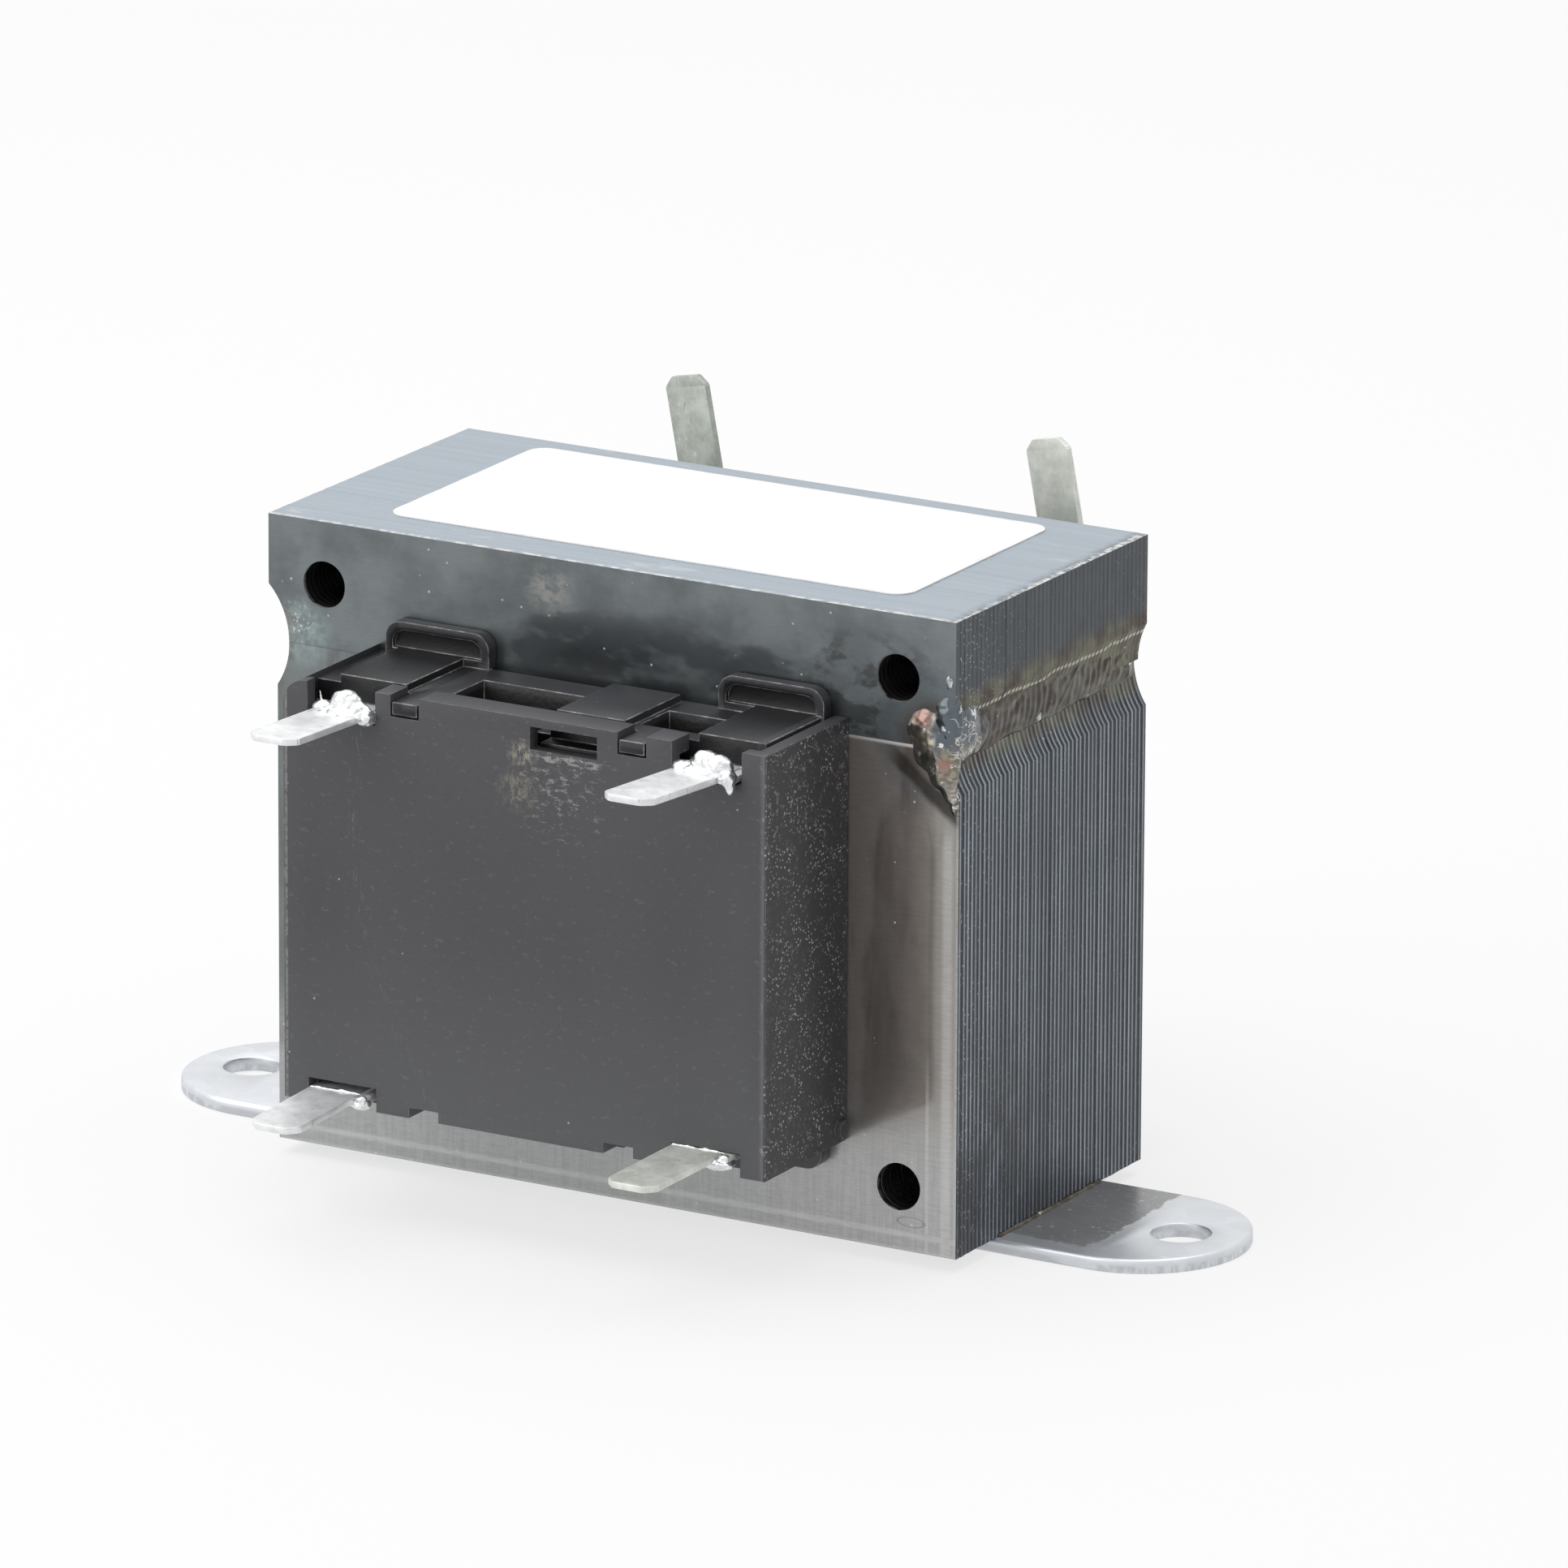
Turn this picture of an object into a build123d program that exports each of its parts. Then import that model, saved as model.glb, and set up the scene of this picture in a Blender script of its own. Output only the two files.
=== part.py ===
from build123d import *
import math
import os

os.makedirs("parts", exist_ok=True)

# A chassis-mount mains transformer: a stack of E laminations with a stack of I bars welded
# across its top, a moulded coil former with two snap-on end covers, six blade terminals and
# a flat foot plate under the core.
# Millimetres. X runs along the core, Y into its depth with the front at minus Y, Z is up.
# The origin is the centre of the foot plate's underside.

# Driving dimensions of the laminated core
# The punching wastes no steel, so its legs, yoke and windows all follow half the tongue width
half_tongue = 11.1125
lam_thickness = 0.635
lam_gap = 0.055
lam_count = 47
edge_groove_width = 0.14
edge_groove_depth = 0.16
core_hole_diameter = 4.1
bar_extra_length = 0.45
bar_shift = -0.6

# Welds between the E stack and the I bars
weld_notch_radius = 7.0
weld_notch_depth = 1.2
weld_recess = 0.72
weld_crown_radius = 12.0
weld_rise = 1.4
weld_lump_radius = 2.7
weld_lump_height = 0.6
weld_lump_inset = 2.6

# Foot plate
foot_length = 103.4
foot_width = 19.05
foot_thickness = 1.25
foot_hole_end = 5.66
foot_hole_diameter = 5.16
foot_edge_round = 0.2
foot_weld_leg = 0.4
foot_weld_radius = 0.48
foot_weld_inset = 0.6

# Coil former, which sits on the yoke a little left of the core's centre line
coil_shift = -0.75
former_clearance = 0.9
former_wall = 1.1
former_corner = 1.2
former_top_clearance = 1.0
flange_thickness = 1.5
flange_side_clearance = 0.8
core_face_gap = 0.25
deck_rise = 1.85
pad_rise = 0.7
pad_width = 6.5
pad_spacing = 34.9
pad_offset = 1.0
centre_pad_start = 1.5
centre_pad_width = 6.6
recess_depth = 6.6
left_recess_start = -9.55
left_recess_end = 0.85
right_recess_start = 8.55
right_recess_end = 14.05
hook_ledge = 1.9
wire_passage_gap = 0.3

# Barrier tongues that stand against the core's face beside each pair of terminals
tongue_spacing = 32.6
tongue_offset = 0.5
tongue_width = 10.2
tongue_height = 4.9
tongue_thickness = 1.25
tongue_corner = 1.5
tongue_rim = 0.75
tongue_panel_depth = 0.4

# End covers over the coil
cover_overhang = 1.275
coil_cover_gap = 2.99
cover_wall = 1.3
cover_fit = 0.15
cover_above = 1.3
cover_below = 2.2
cover_corner = 2.2
cover_lip_thickness = 1.45
cover_lip_depth = 1.6
terminal_notch_inset = 5.73
terminal_notch_width = 6.7
upper_notch_floor = 0.5
lower_notch_roof = 0.12
hook_width = 2.4
hook_height = 1.1
hook_clearance = 0.2
left_hook = -11.55
right_hook = 10.55
sight_window_start = 0.7
sight_window_width = 6.5
sight_window_height = 2.0
sight_window_drop = 0.75
foot_notch_width = 2.9
foot_notch_height = 0.95
left_foot_notch = -9.75
right_foot_notch = 9.3
side_knob_diameter = 1.5
side_knob_height = 0.55
side_knob_back = 1.3
side_knob_up = 1.35

# Windings, from the former outwards
winding_margin = 0.3
primary_share = 0.58
barrier_build = 0.4
wrap_build = 0.4
coil_leg_gap = 1.5625
lead_diameter = 0.7
lead_inset = 5.0

# Blade terminals
blade_width = 4.75
blade_thickness = 0.6
blade_tip_chamfer = 0.9
terminal_root = 8.0
lug_gap = 0.3
lug_width = 0.9
lug_reach = 1.0
pocket_clearance = 0.05
rear_bend_radius = 0.6
rear_skew = 13.0

# How far each terminal stands off the middle of its notch and how deep it lies in its flange,
# then how far it reaches beyond the cover and by how many degrees it is bent up or down
front_upper_left = (-0.28, 0.35, 11.1, 2.7)
front_upper_right = (-0.83, 0.35, 12.2, 4.1)
front_lower_left = (-0.8, 0.88, 10.3, -2.0)
front_lower_right = (-0.84, 0.28, 11.5, 0.2)
# The rear ones are folded straight up, so they have no bend of their own
rear_left = (-0.56, 0.35, 14.6)
rear_right = (-0.83, 0.35, 13.9)

# Solder on the terminals
solder_width = 3.0
solder_depth = 2.5
solder_forward = 0.3
solder_height = 1.8
solder_foot_height = 0.9
solder_slope = 0.6
under_solder_width = 2.2
under_solder_height = 0.7

# Rating label on the top of the core
label_length = 50.8
label_width = 25.4
label_thickness = 0.12
label_corner = 1.8
label_shift = 1.2

# Sizes that follow from the driving ones
lam_pitch = lam_thickness + lam_gap
stack_depth = lam_count * lam_pitch - lam_gap
half_depth = stack_depth / 2
core_width = 6 * half_tongue
half_core = core_width / 2
window_width = half_tongue
window_height = 3 * half_tongue
window_centre = 1.5 * half_tongue
core_base = foot_thickness
e_height = 4 * half_tongue
joint_level = core_base + e_height
core_top = joint_level + half_tongue
yoke_top = core_base + half_tongue
bar_length = core_width + bar_extra_length
hole_x = half_core - half_tongue / 2
hole_rise = half_tongue / 2
foot_hole_spacing = foot_length - 2 * foot_hole_end

former_base = yoke_top
former_top = joint_level - former_top_clearance
former_height = former_top - former_base
tube_inner_x = 2 * (half_tongue + former_clearance)
tube_inner_y = 2 * (half_depth + former_clearance)
tube_outer_x = tube_inner_x + 2 * former_wall
tube_outer_y = tube_inner_y + 2 * former_wall
core_face = half_depth + core_face_gap
coil_build = window_width - former_clearance - former_wall - coil_leg_gap
copper_build = coil_build - barrier_build - wrap_build
primary_build = primary_share * copper_build
barrier_inside = primary_build
secondary_inside = barrier_inside + barrier_build
secondary_build = copper_build - primary_build
wrap_inside = coil_build - wrap_build
cover_half_width = 2 * half_tongue + cover_overhang
terminal_notch_centre = cover_half_width - terminal_notch_inset
cover_face = tube_outer_y / 2 + coil_build + coil_cover_gap + cover_wall
cover_inside = cover_face - cover_wall
flange_front = cover_inside - cover_fit
flange_half = cover_half_width - cover_wall - cover_fit
window_flange_half = 2 * half_tongue - flange_side_clearance
deck_front = cover_inside - cover_lip_depth - cover_fit
deck_top = former_top + deck_rise
deck_bottom = former_base - deck_rise
cover_top = joint_level + cover_above + cover_fit
cover_bottom = yoke_top - cover_below
pad_back = core_face + tongue_thickness
bar_hole_x = hole_x + bar_extra_length / 2
lug_start = blade_width / 2 + lug_gap
lug_centre = lug_start + lug_width / 2
# Every terminal: its name, whether it faces forwards, is on the right seen from outside, is above
terminals = [
    ("front_upper_left", 1, -1, True, front_upper_left),
    ("front_upper_right", 1, 1, True, front_upper_right),
    ("front_lower_left", 1, -1, False, front_lower_left),
    ("front_lower_right", 1, 1, False, front_lower_right),
    ("rear_left", -1, 1, True, rear_left),
    ("rear_right", -1, -1, True, rear_right),
]


def seat(hand, above, shape):
    # Where a terminal's middle and underside lie, seen from its own side of the core
    offset, depth = shape[:2]
    level = former_top - depth if above else former_base - depth - blade_thickness
    return hand * terminal_notch_centre + offset, level


def turned(level, turn):
    # A level plane on the coil's axis; a turn of minus one faces the rear instead of the front
    return Plane(origin=(coil_shift, 0, level), x_dir=(turn, 0, 0), z_dir=(0, 0, 1))


def facing(distance, turn):
    # An upright plane parallel to the core's face, its normal pointing away from the core
    return Plane(origin=(coil_shift, -turn * distance, 0), x_dir=(turn, 0, 0), z_dir=(0, -turn, 0))


def side_plane(offset, side, height):
    # An upright plane on the core's left or right end, centred at the given height
    return Plane(origin=(offset, 0, height), x_dir=(0, 1, 0), z_dir=(side, 0, 0))


def save(piece, name):
    piece.part.label = name
    export_step(piece.part, "parts/" + name + ".step")


# E stack: yoke at the bottom and three legs, with the edge of every lamination showing
notch_offset = half_core - weld_notch_depth + weld_notch_radius
weld_centres = [(-notch_offset, joint_level), (notch_offset, joint_level)]

with BuildPart() as e_stack:
    with BuildSketch(Plane.XZ):
        with Locations((0, core_base + e_height / 2)):
            Rectangle(core_width, e_height)
        with Locations((0, yoke_top + window_height / 2)):
            with GridLocations(2 * window_centre, 0, 2, 1):
                Rectangle(window_width, window_height, mode=Mode.SUBTRACT)
        with Locations(*weld_centres):
            Circle(weld_notch_radius, mode=Mode.SUBTRACT)
        with Locations((-hole_x, core_base + hole_rise), (hole_x, core_base + hole_rise)):
            Circle(core_hole_diameter / 2, mode=Mode.SUBTRACT)
    extrude(amount=half_depth, both=True)
    for side in (-1, 1):
        with BuildSketch(side_plane(side * half_core, side, core_base + e_height / 2)):
            with GridLocations(lam_pitch, 0, lam_count - 1, 1):
                Rectangle(edge_groove_width, e_height)
        extrude(amount=-edge_groove_depth, mode=Mode.SUBTRACT)
save(e_stack, "e_lamination_stack")

# I stack: the bars that close the magnetic path, a shade longer than the E and set to the left
bar_middle = joint_level + half_tongue / 2

with BuildPart() as i_stack:
    with BuildSketch(Plane.XZ):
        with Locations((bar_shift, bar_middle)):
            Rectangle(bar_length, half_tongue)
        with Locations(*weld_centres):
            Circle(weld_notch_radius, mode=Mode.SUBTRACT)
        with Locations((bar_shift, core_top - hole_rise)):
            with GridLocations(2 * bar_hole_x, 0, 2, 1):
                Circle(core_hole_diameter / 2, mode=Mode.SUBTRACT)
    extrude(amount=half_depth, both=True)
    for side in (-1, 1):
        with BuildSketch(side_plane(bar_shift + side * bar_length / 2, side, bar_middle)):
            with GridLocations(lam_pitch, 0, lam_count - 1, 1):
                Rectangle(edge_groove_width, half_tongue)
        extrude(amount=-edge_groove_depth, mode=Mode.SUBTRACT)
    with BuildSketch(Plane.XY.offset(core_top)):
        with Locations((bar_shift, 0)):
            with GridLocations(0, lam_pitch, 1, lam_count - 1):
                Rectangle(bar_length, edge_groove_width)
    extrude(amount=-edge_groove_depth / 2, mode=Mode.SUBTRACT)
save(i_stack, "i_lamination_stack")


# Weld beads: a lens of weld metal lies in the bottom of each notch across the whole stack
def weld_bead(side, lump):
    crown_x = side * (half_core - weld_recess - weld_crown_radius)
    with BuildPart() as bead:
        with BuildSketch(Plane.XZ):
            with Locations((side * notch_offset, joint_level)):
                Circle(weld_notch_radius)
            with Locations((crown_x, joint_level + weld_rise)):
                Circle(weld_crown_radius, mode=Mode.INTERSECT)
        extrude(amount=half_depth, both=True)
        if lump:
            # The arc was started on the front face, where the metal ran over the corner
            ball = (weld_lump_radius**2 + weld_lump_height**2) / (2 * weld_lump_height)
            with BuildSketch(Plane.XY.offset(joint_level)):
                with BuildLine():
                    low = (side * (half_core - weld_lump_inset), -half_depth)
                    tip = (low[0], -half_depth - weld_lump_height)
                    rim = (low[0] + weld_lump_radius, -half_depth)
                    RadiusArc(tip, rim, -ball)
                    Line(rim, low)
                    Line(low, tip)
                make_face()
            revolve(axis=Axis((low[0], 0, joint_level), (0, 1, 0)), revolution_arc=360)
    return bead


weld_left = weld_bead(-1, False)
save(weld_left, "weld_bead_left")
weld_right = weld_bead(1, True)
save(weld_right, "weld_bead_right")

# Foot plate with full-round ends and a bolt hole in each
with BuildPart() as foot_plate:
    with BuildSketch(Plane.XY):
        SlotOverall(foot_length, foot_width)
        with GridLocations(foot_hole_spacing, 0, 2, 1):
            Circle(foot_hole_diameter / 2, mode=Mode.SUBTRACT)
    extrude(amount=foot_thickness)
    rims = foot_plate.faces().sort_by(Axis.Z)[-1].outer_wire().edges()
    chamfer(rims, length=foot_edge_round)
save(foot_plate, "foot_plate")


# Fillet welds where the foot plate leaves the ends of the core
def foot_weld(side):
    corner = side * half_core
    with BuildPart() as seam:
        with BuildSketch(Plane.XZ):
            with BuildLine():
                Line((corner, core_base), (corner + side * foot_weld_leg, core_base))
                RadiusArc(
                    (corner + side * foot_weld_leg, core_base),
                    (corner, core_base + foot_weld_leg),
                    side * foot_weld_radius,
                )
                Line((corner, core_base + foot_weld_leg), (corner, core_base))
            make_face()
        extrude(amount=foot_width / 2 - foot_weld_inset, both=True)
    return seam


save(foot_weld(-1), "foot_weld_left")
save(foot_weld(1), "foot_weld_right")

# Coil former: one moulding with a square tube and two flanges. The tube slides over the tongue.
# Outside the core each flange thickens into a deck that carries pads, tongues and terminals.
recess_back = deck_front - recess_depth
ledge_back = deck_front - hook_ledge
wire_passage_back = tube_outer_y / 2 + coil_build + wire_passage_gap
pad_depth = deck_front - pad_back
pad_middle = (deck_front + pad_back) / 2
outer_depth = flange_front - core_face
deck_depth = deck_front - core_face

with BuildPart() as former:
    with BuildSketch(turned(former_base, 1)):
        RectangleRounded(tube_outer_x, tube_outer_y, former_corner)
    extrude(amount=former_height)
    for plate_level in (former_base, former_top - flange_thickness):
        with BuildSketch(turned(plate_level, 1)):
            Rectangle(2 * window_flange_half, 2 * core_face)
            with GridLocations(0, 2 * core_face + outer_depth, 1, 2):
                Rectangle(2 * flange_half, outer_depth)
        extrude(amount=flange_thickness)
    for deck_level in (former_top, deck_bottom):
        with BuildSketch(turned(deck_level, 1)):
            with GridLocations(0, 2 * core_face + deck_depth, 1, 2):
                Rectangle(2 * flange_half, deck_depth)
        extrude(amount=deck_rise)
    for turn in (-1, 1):
        # Pads over the terminals and one beside the middle, above and below
        for pad_level in (deck_top, deck_bottom - pad_rise):
            with BuildSketch(turned(pad_level, turn)):
                with Locations((pad_offset, -pad_middle)):
                    with GridLocations(pad_spacing, 0, 2, 1):
                        Rectangle(pad_width, pad_depth)
                with Locations((centre_pad_start + centre_pad_width / 2, -pad_middle)):
                    Rectangle(centre_pad_width, pad_depth)
            extrude(amount=pad_rise)
        # Barrier tongues with a raised rim
        with BuildSketch(facing(core_face, turn)):
            with GridLocations(tongue_spacing, 0, 2, 1):
                with Locations((tongue_offset, former_top), (tongue_offset, former_base)):
                    RectangleRounded(tongue_width, 2 * tongue_height, tongue_corner)
            with Locations((0, (former_top + former_base) / 2)):
                Rectangle(2 * cover_half_width, former_height, mode=Mode.SUBTRACT)
        extrude(amount=tongue_thickness)
        with BuildSketch(facing(core_face + tongue_thickness - tongue_panel_depth, turn)):
            with GridLocations(tongue_spacing, 0, 2, 1):
                with Locations((tongue_offset, former_top), (tongue_offset, former_base)):
                    RectangleRounded(
                        tongue_width - 2 * tongue_rim,
                        2 * (tongue_height - tongue_rim),
                        tongue_corner - tongue_rim / 2,
                    )
            with Locations((0, (former_top + former_base) / 2)):
                hidden_height = former_height + 2 * (deck_rise + pad_rise)
                Rectangle(2 * cover_half_width, hidden_height, mode=Mode.SUBTRACT)
        extrude(amount=tongue_panel_depth, mode=Mode.SUBTRACT)
        # Recesses in the decks, the right one with a ledge left for its hook
        for bottom, top in ((former_top, deck_top), (deck_bottom, former_base)):
            with BuildSketch(turned(bottom, turn)):
                with Locations(((left_recess_start + left_recess_end) / 2, -(recess_back + deck_front) / 2)):
                    Rectangle(left_recess_end - left_recess_start, recess_depth)
                right_recess_middle = (right_recess_start + right_recess_end) / 2
                with Locations((right_recess_middle, -(recess_back + ledge_back) / 2)):
                    Rectangle(right_recess_end - right_recess_start, recess_depth - hook_ledge)
            extrude(amount=top - bottom, mode=Mode.SUBTRACT)
        # Passages for the wires through the flanges in front of the coil
        with BuildSketch(turned(former_base, turn)):
            for start, end in (
                (left_recess_start, left_recess_end),
                (right_recess_start, right_recess_end),
            ):
                with Locations(((start + end) / 2, -(wire_passage_back + flange_front) / 2)):
                    Rectangle(end - start, flange_front - wire_passage_back)
        extrude(amount=former_height, mode=Mode.SUBTRACT)
        # Snap hooks that reach through the end cover
        with BuildSketch(turned(deck_top - hook_height, turn)):
            with Locations((left_hook, 0), (right_hook, 0)):
                with Locations((0, -(deck_front + cover_face) / 2)):
                    Rectangle(hook_width, cover_face - deck_front)
        extrude(amount=hook_height)
    # A pocket for each terminal and a notch for the wire that reaches its lug
    pocket_width = blade_width + lug_gap + lug_width + 2 * pocket_clearance
    for name, turn, hand, above, shape in terminals:
        blade_centre, level = seat(hand, above, shape)
        with BuildSketch(turned(level - pocket_clearance, turn)):
            with Locations((blade_centre + (lug_gap + lug_width) / 2, -(flange_front - terminal_root / 2))):
                Rectangle(pocket_width, terminal_root + 2 * pocket_clearance)
        extrude(amount=blade_thickness + 2 * pocket_clearance, mode=Mode.SUBTRACT)
        with BuildSketch(turned(former_top - flange_thickness if above else former_base, turn)):
            with Locations((blade_centre + lug_centre, -flange_front)):
                Rectangle(2 * lead_diameter, 4 * lead_diameter)
        extrude(amount=flange_thickness, mode=Mode.SUBTRACT)
    with BuildSketch(turned(deck_bottom, 1)):
        Rectangle(tube_inner_x, tube_inner_y)
    extrude(amount=deck_top - deck_bottom, mode=Mode.SUBTRACT)
save(former, "coil_former")

# End cover: a front wall, two side walls and a lip above and below, snapped over the flanges
cover_height = cover_top - cover_bottom
cover_middle = (cover_top + cover_bottom) / 2
upper_notch_level = former_top - upper_notch_floor
lower_notch_level = former_base - lower_notch_roof
lip_front = cover_inside - cover_lip_depth
hook_notch_depth = cover_top - deck_top + hook_height + hook_clearance
sight_window_level = cover_top - sight_window_drop - sight_window_height / 2

with BuildPart() as front_cover:
    with BuildSketch(facing(half_depth + cover_fit, 1)):
        with Locations((0, cover_middle)):
            outline = Rectangle(2 * cover_half_width, cover_height)
        fillet(outline.vertices().group_by(Axis.X)[0].sort_by(Axis.Y)[-1], radius=cover_corner)
    extrude(amount=cover_face - half_depth - cover_fit)
    with BuildSketch(turned(cover_bottom, 1)):
        with Locations((0, -(cover_inside + half_depth) / 2)):
            Rectangle(2 * (cover_half_width - cover_wall), cover_inside - half_depth)
    extrude(amount=cover_height, mode=Mode.SUBTRACT)
    # Lips between the two terminals
    for lip_level in (cover_top - cover_lip_thickness, cover_bottom):
        with BuildSketch(turned(lip_level, 1)):
            with Locations((0, -(cover_inside + lip_front) / 2)):
                Rectangle(2 * (terminal_notch_centre - terminal_notch_width / 2), cover_lip_depth)
        extrude(amount=cover_lip_thickness)
    # Openings cut straight through the front wall
    with BuildSketch(facing(lip_front, 1)):
        with Locations((0, upper_notch_level + cover_height)):
            with GridLocations(2 * terminal_notch_centre, 0, 2, 1):
                Rectangle(terminal_notch_width, 2 * cover_height)
        with Locations((0, lower_notch_level - cover_height)):
            with GridLocations(2 * terminal_notch_centre, 0, 2, 1):
                Rectangle(terminal_notch_width, 2 * cover_height)
        with Locations((left_hook, cover_top), (right_hook, cover_top)):
            Rectangle(hook_width + 2 * hook_clearance, 2 * hook_notch_depth)
        with Locations((sight_window_start + sight_window_width / 2, sight_window_level)):
            Rectangle(sight_window_width, sight_window_height)
        with Locations((left_foot_notch, cover_bottom), (right_foot_notch, cover_bottom)):
            Rectangle(foot_notch_width, 2 * foot_notch_height)
    extrude(amount=cover_face - lip_front, mode=Mode.SUBTRACT)
    # A moulded knob on each side wall, by the core's face near the bottom
    for side in (-1, 1):
        knob_spot = side_plane(coil_shift + side * cover_half_width, side, cover_bottom + side_knob_up)
        with BuildSketch(knob_spot):
            with Locations((-(half_depth + side_knob_back), 0)):
                Circle(side_knob_diameter / 2)
        extrude(amount=side_knob_height)
save(front_cover, "front_end_cover")

coil_axis = Axis((coil_shift, 0, 0), (0, 0, 1))

with BuildPart() as rear_cover:
    add(front_cover.part.rotate(coil_axis, 180))
save(rear_cover, "rear_end_cover")


# Windings and their insulation: rings of rounded square section, one outside the other
def coil_ring(inner_build, build, margin):
    bottom = former_base + flange_thickness + margin
    top = former_top - flange_thickness - margin
    with BuildPart() as ring:
        with BuildSketch(turned(bottom, 1)):
            for grow, mode in ((inner_build + build, Mode.ADD), (inner_build, Mode.SUBTRACT)):
                RectangleRounded(
                    tube_outer_x + 2 * grow,
                    tube_outer_y + 2 * grow,
                    former_corner + grow,
                    mode=mode,
                )
        extrude(amount=top - bottom)
    return ring


save(coil_ring(0, primary_build, winding_margin), "primary_winding")
save(coil_ring(barrier_inside, barrier_build, 0), "winding_barrier")
save(coil_ring(secondary_inside, secondary_build, winding_margin), "secondary_winding")
save(coil_ring(wrap_inside, wrap_build, 0), "coil_wrap")


# Terminals: a stamped blade and a narrow lug for the wire share one root in the flange
def terminal_outline(reach):
    # Corner points of the stamping in plan, from the root's left corner around to its right
    left = -blade_width / 2
    right = blade_width / 2
    back = -(flange_front - terminal_root)
    neck = -lip_front
    return [
        (left, back),
        (left, -(reach - blade_tip_chamfer)),
        (left + blade_tip_chamfer, -reach),
        (right - blade_tip_chamfer, -reach),
        (right, -(reach - blade_tip_chamfer)),
        (right, neck),
        (right + lug_gap, neck),
        (right + lug_gap, -(cover_face + lug_reach)),
        (right + lug_gap + lug_width, -(cover_face + lug_reach)),
        (right + lug_gap + lug_width, back),
    ]


def front_terminal(blade_centre, level, reach, tilt):
    centre = coil_shift + blade_centre
    blade_tip = cover_face + reach
    rise = reach * math.tan(math.radians(tilt))
    start = -(flange_front - terminal_root)
    with BuildPart() as terminal:
        with BuildSketch(Plane.YZ):
            with BuildLine():
                Polyline(
                    (start, level),
                    (-cover_face, level),
                    (-blade_tip, level + rise),
                    (-blade_tip, level + rise + blade_thickness),
                    (-cover_face, level + blade_thickness),
                    (start, level + blade_thickness),
                    close=True,
                )
            make_face()
        extrude(amount=2 * cover_half_width, both=True)
        with BuildSketch(Plane(origin=(centre, 0, level - reach))):
            with BuildLine():
                Polyline(*terminal_outline(blade_tip), close=True)
            make_face()
        extrude(amount=2 * reach + blade_thickness, mode=Mode.INTERSECT)
    return terminal


def rear_terminal(blade_centre, level, length):
    # The same stamping with a longer blade, folded upright by hand along a skewed line
    centre = coil_shift - blade_centre
    skew = math.radians(rear_skew)
    fold_line = Vector(math.cos(skew), -math.sin(skew), 0)
    outward = Vector(math.sin(skew), math.cos(skew), 0)
    fold_start = Vector(centre, cover_face, level)
    bend_centre = fold_start + Vector(0, 0, blade_thickness + rear_bend_radius)
    half_fold = blade_width / 2 / math.cos(skew)
    drop = blade_width / 2 * math.tan(skew)

    def leaned(across, along):
        # The blade's own directions, turned in its plane by the skew of the fold
        x = across * math.cos(skew) + along * math.sin(skew)
        y = along * math.cos(skew) - across * math.sin(skew)
        return (x, y)

    with BuildPart() as terminal:
        with BuildSketch(Plane(origin=(centre, 0, level), x_dir=(-1, 0, 0), z_dir=(0, 0, 1))):
            with BuildLine():
                points = terminal_outline(cover_face)
                left_end = (-blade_width / 2, -(cover_face - drop))
                right_end = (blade_width / 2, -(cover_face + drop))
                Polyline(points[0], left_end, right_end, *points[5:], close=True)
            make_face()
        extrude(amount=blade_thickness)
        with BuildSketch(Plane(origin=fold_start, x_dir=-fold_line, z_dir=outward)):
            with Locations((0, blade_thickness / 2)):
                Rectangle(2 * half_fold, blade_thickness)
        revolve(axis=Axis(bend_centre, fold_line), revolution_arc=90)
        upright = Plane(origin=bend_centre + outward * rear_bend_radius, x_dir=-fold_line, z_dir=outward)
        with BuildSketch(upright):
            with BuildLine():
                Polyline(
                    (-half_fold, 0),
                    (half_fold, 0),
                    leaned(blade_width / 2, length - blade_tip_chamfer),
                    leaned(blade_width / 2 - blade_tip_chamfer, length),
                    leaned(-blade_width / 2 + blade_tip_chamfer, length),
                    leaned(-blade_width / 2, length - blade_tip_chamfer),
                    close=True,
                )
            make_face()
        extrude(amount=blade_thickness)
    return terminal


# Solder heaped where the wire lug and the blade leave the cover
def solder_joint(turn, blade_centre, level, above, terminal):
    away = 1 if above else -1
    far_face = level if above else level + blade_thickness
    lug_end = blade_centre + lug_start + lug_width
    if above:
        heaps = [
            (lug_end - solder_width / 2, solder_width, solder_height),
            (blade_centre, blade_width, solder_foot_height),
        ]
    else:
        heaps = [(lug_end - under_solder_width / 2, under_solder_width, under_solder_height)]
    middle = -(cover_face + solder_forward)
    with BuildPart() as joint:
        for centre, width, height in heaps:
            with BuildSketch(turned(far_face, turn)):
                with Locations((centre, middle)):
                    Rectangle(width, solder_depth)
            with BuildSketch(turned(far_face + away * (blade_thickness + height), turn)):
                with Locations((centre, middle)):
                    Rectangle(width - 2 * solder_slope, solder_depth - 2 * solder_slope)
            loft()
        add(terminal.part, mode=Mode.SUBTRACT)
    return joint


# A winding's end runs from the coil to the lug of its terminal
def lead(turn, blade_centre, level, above):
    coil_side = tube_outer_y / 2 + coil_build
    run = flange_front - lead_diameter
    away = -1 if above else 1
    lug_face = level if above else level + blade_thickness
    start = lug_face + away * lead_inset
    origin = turned(0, turn).from_local_coords((blade_centre + lug_centre, 0, 0))
    upright = Plane(origin=origin, x_dir=(0, -turn, 0), z_dir=(-turn, 0, 0))
    with BuildPart() as wire:
        with BuildLine(upright) as path:
            Polyline((coil_side, start), (run, start), (run, lug_face))
        with BuildSketch(Plane(origin=path.line @ 0, z_dir=path.line % 0)):
            RegularPolygon(lead_diameter / 2, 8)
        sweep(transition=Transition.RIGHT)
    return wire


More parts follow.
